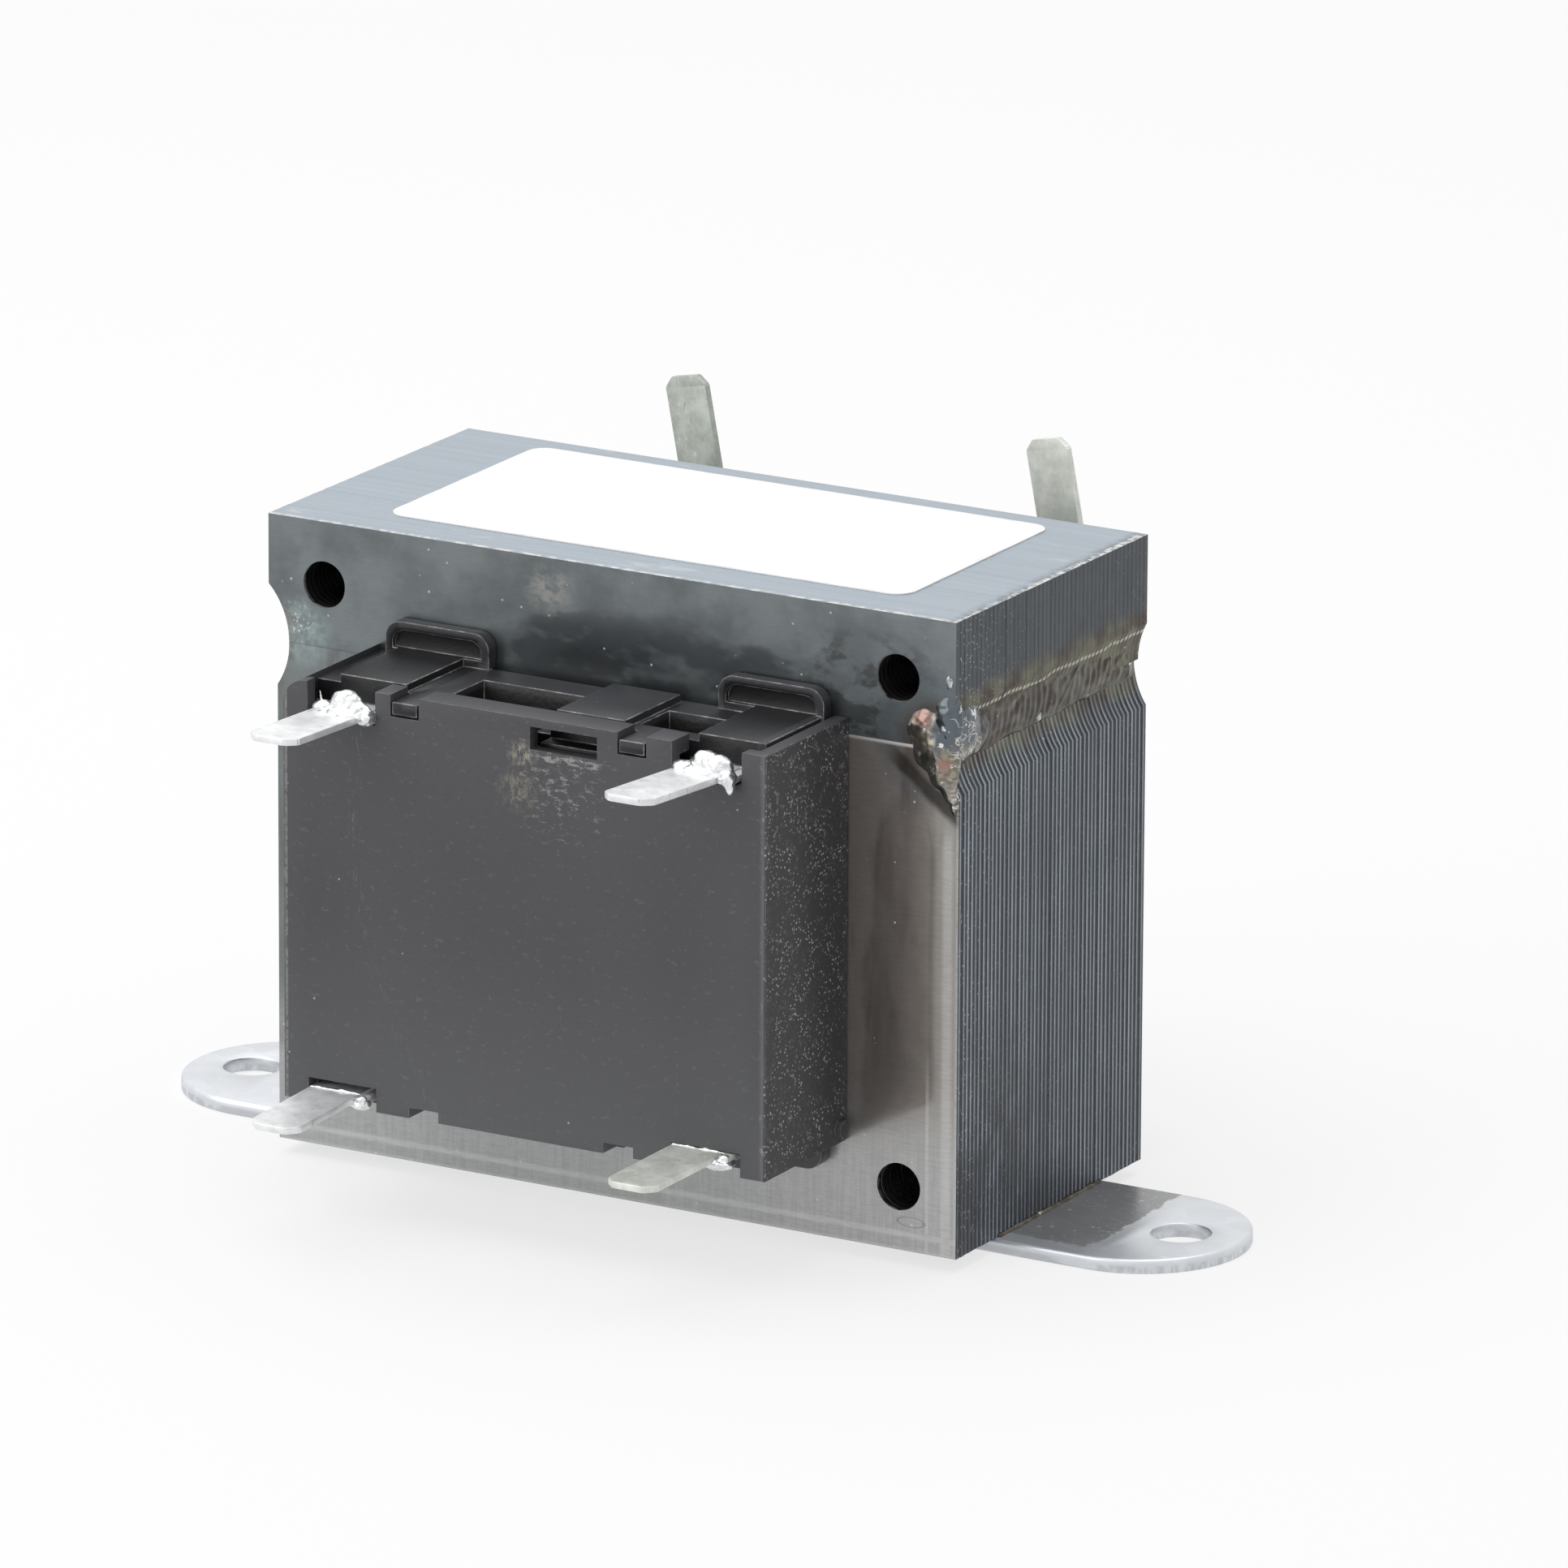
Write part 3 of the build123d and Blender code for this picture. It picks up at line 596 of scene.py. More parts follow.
# %% Edges of the sheets
def sheet_edges(name, dark, light, tint, clear, groove):
    edge = Recipe(name)
    place, own = sheet_by_sheet(edge)
    burr = sheared_burr(edge, place)
    wear = edge.cloud(0.3, 4.0, (1.0, 1.0, 0.35), 0.65)
    lines = edge.cloud(1.6, 3.0, (1.0, 1.0, 0.06), 0.6)
    worn = clear + edge.fade(wear + lines * 0.3, 0.5, 0.85) * (1 - clear)
    shine = burr * (0.62 + own * 0.38) * worn
    edge.base(shine, dark, light)
    # Brown and olive above and below the bead, most in its middle
    far = edge.single("ABSOLUTE", edge.z - weld_level - 0.4)
    hot = edge.fade(far + edge.cloud(0.6, 2.0) * 1.4, 5.0, 3.3)
    olive = edge.blend(edge.patches(0.35, 0.65, 0.35, 3.0), paint(74, 58, 46), paint(116, 116, 94))
    edge.colour = edge.blend(hot * tint * (1 - shine * 0.5), edge.colour, olive)
    # A bright toothed line, a little wavy, where the bead meets the bars
    wave = edge.z + (edge.cloud(0.2, 2.0, (0.0, 1.0, 0.0)) - 0.5) * 1.6
    teeth = edge.band(wave, weld_level + 1.9, weld_level + 2.2, 0.12) * edge.band(place, 0.1, 0.75, 0.1)
    edge.stain(teeth * 0.8, 206, 202, 188)
    film = edge.patches(0.4, 0.56, 0.12, 3.0, rough=0.6, shift=(0.0, 4.0, 9.0))
    low_front = edge.fade(edge.z, 24.0, 10.0) * edge.fade(edge.y, 6.0, -11.0)
    edge.stain(film * low_front * 0.75, 62, 64, 68)
    near_front = edge.fade(edge.y, -8.0, -15.5)
    fine_dust = edge.specks(2.6, 0.28, 0.35) * (0.3 + near_front * 0.5)
    dust = edge.most(edge.specks(1.1, 0.17, 0.2), fine_dust)
    edge.stain(dust * 0.8, 206, 208, 208)
    rough = 0.38 + edge.cloud(0.8, 2.0) * 0.2 + dust * 0.3
    return edge.finish(rough, metallic=0.6, height=burr + lines * 0.3, depth=groove)


edges_of_e = sheet_edges(
    "e_sheet_edges", paint(58, 63, 70), paint(176, 185, 194), tint=0.75, clear=0.7, groove=0.04
)
edges_of_bars = sheet_edges(
    "bar_edges", paint(73, 77, 81), paint(92, 98, 102), tint=0.85, clear=0.1, groove=0.006
)

# %% [markdown]
# The bores through the stacks are the same edges, but no light gets in, and varnish ran through
# them while the core drained. They are painted nearly black as painted shade, with only a trace of every
# sheet.

# %% Bores
def bore_walls():
    bore = Recipe("bores_in_painted_shade")
    burr = sheared_burr(bore, sheet_by_sheet(bore)[0])
    mouth = bore.fade(bore.y, -half_depth + 0.5, -half_depth + 0.1)
    # Painted shade: the walls of the bores are painted nearly black
    bore.base(burr * 0.5, paint(17, 17, 18), paint(52, 52, 54))
    bore.stain(mouth * bore.patches(0.4, 0.6, 1.0) * 0.7, 150, 148, 144)
    return bore.finish(0.5 + burr * 0.1, height=burr, depth=0.05, Specular_IOR_Level=0.2)


inside_of_bores = bore_walls()

# %% [markdown]
# The top of the bars is the same kind of edge, but it lies under clear varnish and catches the
# light of the whole room at a low angle, so it looks pale and blue, with fine lines along it.

# %% Top of the bars
def bar_tops():
    top = Recipe("bar_tops")
    own = sheet_by_sheet(top)[1]
    lines = top.cloud(1.2, 4.0, (0.05, 3.0, 1.0), 0.6)
    top.base(own * 0.2 + lines * 0.5, paint(153, 163, 172), paint(178, 188, 196))
    worn = top.patches(0.6, 0.75, 0.25, 4.0, (0.5, 1.0, 1.0), 0.7)
    top.stain(worn * 0.35, 214, 218, 220)
    burr = top.fade(top.y, -half_depth + 0.7, -half_depth + 0.2) * top.patches(0.4, 0.6, 1.2, 3.0)
    top.stain(burr * 0.8, 226, 224, 218)
    end = top.fade(top.x, half_core - 1.8, half_core - 0.6) * top.patches(0.36, 0.56, 0.9, 3.0)
    top.stain(end * 0.7, 104, 109, 114)
    end_rim = top.fade(top.x, bar_right - 0.5, bar_right - 0.1) * top.patches(0.42, 0.56, 2.0, 3.0)
    top.stain(end_rim, 214, 214, 210)
    rough = 0.4 + top.cloud(0.5, 2.0) * 0.15
    return top.finish(rough, metallic=0.35, height=lines, depth=0.015)


tops_of_bars = bar_tops()

# %% [markdown]
# ## The two stacks of sheets
# The CAD has each stack as one solid with shallow grooves. Here every sheet is made: one outline
# with its holes is filled and given its thickness by a curve with a hair of bevel, and copies are
# laid behind each other, each a few hundredths of a millimetre off, because a real stack is never
# quite true. The bars also drift a little to the right towards the back. The round notch for the
# weld is worked out from its radius and its depth, for the sheets here and for the beads later.

# %% Notch for the weld
notch_radius = 7.0
notch_depth = 1.2


def notch_gap(level):
    """How far the notch reaches in from the side of the E sheets at a level."""
    rise = level - joint_level
    return notch_depth - notch_radius + math.sqrt(notch_radius**2 - rise**2)


def notch_rise(gap):
    """How far above or below the joint the notch is this deep."""
    return math.sqrt(notch_radius**2 - (notch_radius - notch_depth + gap) ** 2)


def notch_arc(side, low, high):
    steps = 10
    levels = [low + (high - low) * i / steps for i in range(steps + 1)]
    return [(side * (half_core - notch_gap(level)), level) for level in levels]


print("notch in mm:", round(2 * notch_rise(0), 2), "high,", notch_depth, "deep")

# %% One sheet from its outline
def circle(centre_x, centre_z, radius):
    count = 40
    turns = [2 * math.pi * i / count for i in range(count)]
    return [(centre_x + radius * math.cos(t), centre_z + radius * math.sin(t)) for t in turns]


def sheet_mesh(outline, holes, thickness=sheet_thickness, inset=0.0, bevel=0.035):
    curve = bpy.data.curves.new("sheet", "CURVE")
    curve.dimensions = "2D"
    curve.fill_mode = "BOTH"
    curve.extrude = thickness / 2 - bevel
    curve.bevel_depth = bevel
    curve.bevel_resolution = 0
    curve.offset = -bevel - inset
    for ring in (outline, *holes):
        spline = curve.splines.new("POLY")
        spline.points.add(len(ring) - 1)
        for point, (x, z) in zip(spline.points, ring):
            point.co = (x, z, 0, 1)
        spline.use_cyclic_u = True
    mesh = applied(curve)
    # Stand the sheet up: its drawing's second axis becomes the height
    mesh.transform(Matrix(((1, 0, 0, 0), (0, 0, -1, 0), (0, 1, 0, 0), (0, 0, 0, 1))))
    return mesh


# %% Stacks
def stack(name, sheet, filling, drift, lift, jitter, seed):
    chance = random.Random(seed)
    points, faces = [], []
    corners = [vertex.co.copy() for vertex in sheet.vertices]
    for index in range(sheet_count):
        depth = -half_depth + sheet_thickness / 2 + index * sheet_pitch
        shift = drift * index / (sheet_count - 1) + chance.gauss(0, jitter)
        rise = lift * chance.random()
        first = len(points)
        points += [(corner.x + shift, corner.y + depth, corner.z + rise) for corner in corners]
        faces += [[first + i for i in polygon.vertices] for polygon in sheet.polygons]
    # The varnish that fills the gaps is one more body, a little inside the sheets
    first = len(points)
    for vertex in filling.vertices:
        shift = drift * (vertex.co.y + half_depth) / (2 * half_depth)
        points.append((vertex.co.x + shift, vertex.co.y, vertex.co.z))
    faces += [[first + i for i in polygon.vertices] for polygon in filling.polygons]
    mesh = bpy.data.meshes.new(name)
    mesh.from_pydata(points, [], faces)
    mesh.validate()
    # Empty slots, one for each number that sort_faces gives
    for _ in range(4):
        mesh.materials.append(None)
    return mesh


# %% Outline of the E sheets
hole_radius = 2.05
notch_foot = joint_level - notch_rise(0)
yoke_top = foot_top + half_tongue
right_side = [(half_core, foot_top), *notch_arc(1, notch_foot, joint_level)]
left_side = [*reversed(notch_arc(-1, notch_foot, joint_level)), (-half_core, foot_top)]
right_window = [
    (2 * half_tongue, joint_level),
    (2 * half_tongue, yoke_top),
    (half_tongue, yoke_top),
    (half_tongue, joint_level),
]
left_window = [(-x, z) for x, z in reversed(right_window)]
e_outline = [*right_side, *right_window, *left_window, *left_side]
hole_x = half_core - half_tongue / 2
e_holes = [circle(side * hole_x, foot_top + half_tongue / 2, hole_radius) for side in (-1, 1)]

# %% Outline of the bars
bar_outline = [
    *notch_arc(1, joint_level, joint_level + notch_rise(half_core - bar_right)),
    (bar_right, core_top),
    (bar_left, core_top),
    *reversed(notch_arc(-1, joint_level, joint_level + notch_rise(half_core + bar_left))),
]
bar_hole = hole_x + bar_extra / 2
bar_hole_level = core_top - half_tongue / 2
bar_holes = [circle(bar_shift + side * bar_hole, bar_hole_level, hole_radius) for side in (-1, 1)]

# %% [markdown]
# The cut edges, the bores and the top of the bars each have their own finish. Which face is which
# is read from the way it looks and from its distance to the middle of a hole.

# %% Which face is what
def sort_faces(mesh, holes, with_top):
    """Slot 0 for the flat faces, 1 for cut edges, 2 for the bores and 3 for the top of the bars."""
    middles = [(sum(x for x, z in ring) / len(ring), sum(z for x, z in ring) / len(ring)) for ring in holes]
    for polygon in mesh.polygons:
        centre, normal = polygon.center, polygon.normal
        bore = any(math.dist((centre.x, centre.z), middle) < hole_radius + 0.3 for middle in middles)
        if abs(normal.y) > 0.85:
            polygon.material_index = 0
        elif bore:
            polygon.material_index = 2
        else:
            polygon.material_index = 3 if with_top and normal.z > 0.6 else 1


# %% Both stacks
fill_depth = 2 * half_depth - 0.6
e_sheet = sheet_mesh(e_outline, e_holes)
e_filling = sheet_mesh(e_outline, e_holes, fill_depth, 0.1)
e_pack = stack("e_sheets", e_sheet, e_filling, drift=0.0, lift=0.02, jitter=0.02, seed=8)
sort_faces(e_pack, e_holes, False)
e_finishes = [face_of_sheets, edges_of_e, inside_of_bores]
add_piece("e_sheets", e_pack, e_finishes, "e_lamination_stack")

bar_thickness = 0.67
bar_sheet = sheet_mesh(bar_outline, bar_holes, bar_thickness, bevel=0.014)
bar_filling = sheet_mesh(bar_outline, bar_holes, fill_depth, 0.02)
bar_pack = stack("bar_sheets", bar_sheet, bar_filling, drift=0.4, lift=-0.02, jitter=0.008, seed=10)
sort_faces(bar_pack, bar_holes, True)
bar_finishes = [face_of_bars, edges_of_bars, inside_of_bores, tops_of_bars]
add_piece("bar_sheets", bar_pack, bar_finishes, "i_lamination_stack")

# %% [markdown]
# ## The weld beads
# On each side one pass of weld holds the bars to the E sheets. It lies in the notch, a little
# above the joint, and carries the small crescent ripples of a moving arc. It is drawn as a grid
# over the length and the height of the bead, with the ripples added to its bulge, and closed at
# the back inside the steel. One sharp curved ridge shows where the arc was stopped and begun.

# %% Beads
weld_half_height = 2.05
ripple_pitch = 0.95
ridge_width = 0.13


def bead_mesh(side, ridge_depth, seed):
    stations, rows = 300, 18
    rings = []
    for station in range(stations + 1):
        y = (2 * station / stations - 1) * (half_depth - 0.04)
        ring = []
        for row in range(rows + 1):
            t = 2 * row / rows - 1
            wander = noise.noise(Vector((y * 0.25, t, seed))) * 0.25
            level = weld_level + weld_half_height * t + wander
            ripple = 0.5 + 0.5 * math.cos(2 * math.pi * (y + 0.9 * t * t) / ripple_pitch)
            fresh = 0.5 + 0.5 * noise.noise(Vector((y * 0.18, 3.0, seed)))
            arc = y - ridge_depth + half_depth - 2.1 * t
            ridge = math.exp(-((arc / ridge_width) ** 2))
            rough = noise.noise(Vector((y * 0.9, t * 2.0, seed + 5)))
            bulge = (1 - t * t) ** 0.7 * (0.38 + 0.07 * ripple * fresh + 0.1 * rough)
            bulge += 0.1 * ridge * (1 - t**4)
            bulge *= min(1.0, 0.1 + abs(abs(y) - half_depth) / 1.6)
            ring.append((side * (half_core - notch_gap(level) + bulge - 0.02), y, level))
        # Two points inside the steel close the ring at the back
        for t in (1, -1):
            level = weld_level + weld_half_height * t
            ring.append((side * (half_core - notch_gap(level) - 0.5), y, level))
        rings.append(ring)
    mesh = skin_over("bead", rings)
    smooth_by_angle(mesh, 60)
    return mesh


# %% [markdown]
# The metal of the bead is bare and was hot: bright at the newest puddles, straw, brown and olive
# where it cooled in air, with a touch of blue. Those colours are thin oxide on a glossy metal.

# %% Weld metal
def weld_metal():
    weld = Recipe("heat_tinted_weld")
    slow = weld.cloud(0.22, 3.0, (1.0, 0.5, 1.0), 0.6)
    fine = weld.cloud(1.3, 4.0, rough=0.65)
    stops = [
        (0.34, paint(36, 27, 22)),
        (0.43, paint(66, 54, 40)),
        (0.50, paint(98, 97, 88)),
        (0.57, paint(50, 36, 28)),
        (0.68, paint(84, 87, 90)),
    ]
    weld.colour = weld.node("ValToRGB", {"stops": stops}, {0: slow + (fine - 0.5) * 0.12})
    weld.stain(weld.patches(0.66, 0.7, 0.5, 2.0, shift=(4.0, 2.0, 0.0)), 214, 216, 212)
    front = weld.fade(weld.y, -half_depth + 3.5, -half_depth + 0.5)
    weld.stain(front * weld.fade(fine, 0.3, 0.6) * 0.6, 120, 126, 130)
    dull = weld.patches(0.35, 0.6, 0.9, 3.0, (1.0, 1.0, 0.4), 0.6, (2.0, 6.0, 0.0))
    weld.stain(dull * 0.5, 60, 55, 49)
    return weld.finish(0.16 + fine * 0.14, metallic=0.8, height=fine, depth=0.03)


weld_finish = weld_metal()
bead_left = bead_mesh(-1, ridge_depth=9.0, seed=2.0)
add_piece("bead_left", bead_left, [weld_finish], "weld_bead_left")

# %% [markdown]
# At the front right corner the arc was struck on the flat face, so the metal ran over the corner
# as a drop and a smear. Such melted forms are easiest as a few overlapping ellipsoids that a voxel
# remesh joins into one skin, smoothed and made uneven with noise. The same helper makes solder.

# %% Melted forms
def melted(blobs, voxel, wobble, grain, seed, smoothing=6):
    body = bmesh.new()
    for centre, radii, turn in blobs:
        lean = Euler([math.radians(angle) for angle in turn]).to_matrix().to_4x4()
        place = Matrix.Translation(centre) @ lean @ Matrix.Diagonal((*radii, 1))
        bmesh.ops.create_icosphere(body, subdivisions=3, radius=1, matrix=place)
    mesh = bpy.data.meshes.new("melted")
    body.to_mesh(mesh)
    body.free()
    mesh = applied(
        mesh,
        ("REMESH", {"mode": "VOXEL", "voxel_size": voxel}),
        ("SMOOTH", {"factor": 0.5, "iterations": smoothing}),
    )
    normals = [vertex.normal.copy() for vertex in mesh.vertices]
    for vertex, normal in zip(mesh.vertices, normals):
        crumple = noise.fractal(vertex.co * grain + Vector((seed, 0, 0)), 1.0, 2.0, 3)
        vertex.co += normal * wobble * crumple
    mesh.shade_smooth()
    return mesh


def placed(blobs, origin, facing=(1, 1, 1)):
    """Blobs that are given from an origin, moved there, along axes that may face the other way."""
    result = []
    for offset, radii, turn in blobs:
        centre = [start + way * step for start, way, step in zip(origin, facing, offset)]
        result.append((centre, radii, turn))
    return result


def joined(first, second):
    """The first mesh with the second one added to it."""
    with edited(first) as body:
        body.from_mesh(second)
    return first


# %% [markdown]
# The blobs of the corner are given from the point of the joint at the front right corner, in
# millimetres to the right, to the back and upwards: first the drop on the face, then the lump
# over the corner and the smear that leads into the bead.

# %% Blobs of the corner
corner = (half_core, -half_depth, joint_level)
corner_blobs = [
    ((-3.3, 0.15, 1.3), (1.8, 0.75, 2.1), (0, -10, 0)),
    ((-2.5, 0.1, -0.2), (2.0, 0.85, 2.4), (0, -30, 0)),
    ((-1.7, 0.1, -1.9), (1.4, 0.8, 2.0), (0, -30, 0)),
    ((-1.0, 0.15, -3.5), (0.8, 0.6, 1.6), (0, -25, 0)),
    ((-0.6, 0.2, -4.8), (0.4, 0.4, 1.0), (0, -15, 0)),
    ((-1.3, 0.35, 2.3), (1.4, 0.75, 2.7), (0, 5, 0)),
    ((-1.0, 0.4, -0.6), (1.0, 0.9, 2.6), (0, 0, 0)),
    ((-1.1, 0.4, 5.6), (0.55, 0.5, 1.7), (0, 0, 0)),
    ((-1.05, 2.2, 1.2), (0.95, 2.6, 3.0), (0, 0, 0)),
    ((-1.2, 4.6, 0.4), (0.8, 2.4, 2.0), (0, 0, 0)),
]

# %% [markdown]
# The drop cooled by itself and looks unlike the bead: grey with straw and blue, two copper-red
# places, bright silver flecks, and fine bright swirls where it flowed round the corner.

# %% Metal of the corner
def corner_metal():
    drop = Recipe("weld_drop")
    corner_x, face_y = half_core, -half_depth
    fine = drop.cloud(0.9, 4.0, rough=0.65)
    stops = [
        (0.34, paint(92, 90, 88)),
        (0.46, paint(146, 142, 134)),
        (0.54, paint(112, 106, 102)),
        (0.62, paint(152, 146, 124)),
        (0.70, paint(126, 134, 140)),
    ]
    drop.colour = drop.node("ValToRGB", {"stops": stops}, {0: drop.cloud(0.5, 3.0)})
    red = drop.dot((corner_x - 3.5, face_y - 0.5, joint_level + 2.6), 0.2, 1.5)
    red = drop.most(red, drop.dot((corner_x - 1.2, face_y - 0.5, joint_level - 1.2), 0.2, 0.9))
    drop.stain(red * 0.6, 156, 112, 100)
    blue = drop.fade(drop.x, corner_x - 2.6, corner_x - 1.8)
    blue = blue * drop.fade(drop.z, joint_level - 0.8, joint_level + 0.8)
    drop.stain(blue * 0.85, 86, 97, 106)
    drop.stain(drop.fade(fine, 0.6, 0.66), 222, 223, 220)
    swirl = drop.cloud(0.45, 3.0, (0.4, 1.0, 1.6), 0.6, (0.0, 2.0, 6.0))
    streaks = drop.band(swirl, 0.47, 0.49, 0.01) * drop.fade(drop.x, corner_x - 0.9, corner_x - 0.5)
    drop.stain(streaks * 0.8, 208, 206, 200)
    top_end = drop.fade(drop.z, joint_level + 4.6, joint_level + 5.6)
    drop.stain(top_end * drop.fade(fine, 0.42, 0.56), 206, 210, 210)
    return drop.finish(0.12 + fine * 0.12, metallic=0.85, height=fine, depth=0.02)


corner_finish = corner_metal()
corner_drop = melted(placed(corner_blobs, corner), voxel=0.12, wobble=0.16, grain=0.5, seed=3.0)
bead_right = joined(bead_mesh(1, ridge_depth=20.0, seed=7.0), corner_drop)
add_piece("bead_right", bead_right, [weld_finish, corner_finish], "weld_bead_right")
for polygon in bead_right.polygons:
    middle = polygon.center * 1000
    on_drop = middle.y < -half_depth + 4.4 and middle.x > half_core - 6
    polygon.material_index = 1 if on_drop else 0

# %% [markdown]
# ## Foot plate
# A strip of zinc-plated steel with sheared, slightly rounded edges. The right end went into the
# varnish with the core, and a dark film with a ragged edge and a few bubbles stayed on it. The
# solid's shape is right, so a copy of its mesh only gets softer edges.

# %% Zinc plate
def zinc_with_varnish():
    zinc = Recipe("zinc_plate")
    spangle = zinc.node("TexVoronoi", {}, {"Vector": zinc.spot, "Scale": 0.5}, "Color")
    tone = zinc.node("SeparateColor", {}, {0: spangle}, "Red")
    brushed = zinc.cloud(0.8, 4.0, (0.15, 3.0, 1.0), 0.6)
    zinc.base(tone * 0.25 + brushed * 0.35, paint(206, 209, 214), paint(236, 238, 240))
    # The film of varnish, with a ragged edge and a few bubbles
    ragged = (zinc.cloud(0.35, 5.0, rough=0.7) - 0.5) * 7.0
    film = zinc.fade(zinc.x + ragged * 0.6, 41.4, 40.9) * zinc.fade(zinc.x, 20.0, 21.0)
    film = film * zinc.fade(zinc.y + ragged * 0.3, -7.9, -7.3) * zinc.fade(zinc.z, 1.0, 1.15)
    bubbles = zinc.specks(0.7, 0.2, 0.25)
    shade = zinc.blend(zinc.cloud(0.2, 3.0), paint(124, 124, 126), paint(160, 161, 163))
    zinc.colour = zinc.blend(film * (1 - bubbles * 0.7), zinc.colour, shade)
    edge = zinc.fade(zinc.z, 0.9, 0.5) * zinc.fade(brushed, 0.4, 0.6)
    zinc.stain(edge * 0.4, 150, 152, 156)
    crust = zinc.most(zinc.specks(1.0, 0.3, 0.3), zinc.specks(2.2, 0.3, 0.4)) * film
    zinc.stain(crust * 0.7, 214, 215, 216)
    rough = 0.3 + brushed * 0.2 - film * 0.1
    height = film * 0.7 + bubbles * film + brushed * 0.1
    return zinc.finish(rough, metallic=0.85 - film * 0.65, height=height, depth=0.03)


plate = softened(solid_in_mm("foot_plate"), 0.12)
add_piece("plate", plate, [zinc_with_varnish()], "foot_plate")

# %% [markdown]
# A thin weld seam runs between the plate and the core on both sides. Its cross-section is a small
# five-sided fillet that grows and shrinks along the seam.

# %% Seams between plate and core
seam_reach = 8.9
seam_size = 0.4


def seam_mesh(side):
    stations, rings = 90, []
    for station in range(stations + 1):
        y = -seam_reach + 2 * seam_reach * station / stations
        size = seam_size * (0.75 + 0.45 * noise.noise(Vector((y * 0.8, side * 4.0, 0))))
        section = (
            (-0.2, -0.1),
            (size, -0.05),
            (size * 0.75, size * 0.3),
            (size * 0.3, size * 0.7),
            (-0.05, size),
        )
        rings.append([(side * half_core + side * out, y, foot_top + up) for out, up in section])
    mesh = skin_over("seam", rings)
    mesh.shade_smooth()
    return mesh


for side, place in ((-1, "left"), (1, "right")):
    add_piece("seam_" + place, seam_mesh(side), [weld_finish], "foot_weld_" + place)

# %% [markdown]
# ## Black nylon
# The former and its two covers are moulded in glass-filled nylon: charcoal grey where light falls
# on it, with a fine grain. Handling left pale scuffs on the front right edge, the front left edge has
# a pale painted highlight, dust sits on the side wall, which is painted darker as painted shade, a few
# drops of flux dried by the window, and an arc of fine scratches runs down the front. All of that is
# placed in millimetres, and the mouldings get softly rounded edges, painted pale as a painted
# highlight with dust on them.

# %% Places on the mouldings
cover_face = 30.0275
coil_shift = -0.75
cover_half_width = 23.5
cover_left = coil_shift - cover_half_width
cover_right = coil_shift + cover_half_width
former_top = joint_level - 1.0


def at_front(moulding):
    """1 on the front wall of the front cover."""
    return moulding.fade(moulding.y, -29.5, -29.9)


def at_side(moulding):
    """1 on the right side wall of the covers."""
    return moulding.fade(moulding.x, cover_right - 0.25, cover_right - 0.1)


# %% Wear by the sight window, and a painted highlight down the left edge
def window_wear_and_edge_highlight(moulding, grain):
    fleck_cloud = moulding.cloud(1.3, 5.0, (0.7, 1.0, 1.3), 0.8, (3.0, 0.0, 6.0))
    near_window = moulding.dot((2.5, -cover_face, 41.8), 1.0, 7.5)
    flecks = moulding.fade(fleck_cloud + near_window * 0.05, 0.58, 0.64) * at_front(moulding)
    moulding.stain(flecks * (0.15 + near_window * 0.5), 146, 146, 144)
    # The lip that tore under the sight window, and a painted highlight: the thin pale line down the left
    # edge
    lip = moulding.band(moulding.z, 43.55, 44.15, 0.1) * moulding.band(moulding.x, 0.6, 6.6, 0.5)
    lip = lip * moulding.fade(fleck_cloud, 0.46, 0.56)
    line = moulding.band(moulding.x, cover_left + 0.18, cover_left + 0.38, 0.08)
    line = line * moulding.fade(grain, 0.34, 0.56)
    lip_and_edge_highlight = moulding.most(lip, line * 0.7) * at_front(moulding)
    moulding.stain(lip_and_edge_highlight * 0.8, 150, 150, 149)


# %% Flux and scratches on the front wall
def flux_and_scratches(moulding):
    upper = moulding.dot((-0.8, -cover_face, 43.8), 0.3, 1.8)
    lower = moulding.dot((-1.2, -cover_face, 40.8), 0.3, 2.6)
    flux = moulding.most(upper, lower * 0.6)
    flux = flux * moulding.patches(0.44, 0.6, 2.0, 5.0, (1.0, 1.0, 0.5), 0.75)
    moulding.stain(flux * 0.85, 150, 145, 128)
    # Fine scratches on an arc down the left of the front wall
    from_middle = moulding.gap((25.2, -cover_face, 36.0))
    arc = moulding.band(from_middle, 42.0, 43.2, 0.5) * at_front(moulding)
    scratches = moulding.patches(0.54, 0.66, 1.2, 5.0, (2.0, 1.0, 0.5), 0.8)
    moulding.stain(arc * scratches * 0.35, 122, 122, 124)


# %% Hollows of the former
def hollows_in_painted_shade(moulding):
    # Painted shade: the former's recesses and the channels beside its pads are deep, and are painted black,
    # where varnish pooled too
    deep = moulding.fade(moulding.z, former_top + 1.5, former_top + 1.1)
    deep = deep * moulding.fade(moulding.z, 38.0, 40.0)
    left_channel = moulding.fade(moulding.x, -20.2, -20.5)
    right_channel = moulding.fade(moulding.x, 21.0, 21.3)
    outer = moulding.most(left_channel, right_channel)
    moulding.stain(moulding.most(deep, outer) * 0.9, 14, 14, 15)
    # Painted shade too in the hollows of the two tongues, while their rims are rubbed grey
    half_width = 4.3
    for middle in (-16.8, 15.8):
        hollow = moulding.band(moulding.x, middle - half_width, middle + half_width, 0.15)
        hollow = hollow * moulding.band(moulding.z, former_top + 1.2, former_top + 4.4, 0.15)
        moulding.stain(hollow * 0.85, 20, 20, 22)
    # Painted shade: the front part of the former, inside the front cover, is painted darker
    moulding.stain(moulding.fade(moulding.y, -17.0, -18.5) * 0.45, 30, 30, 32)
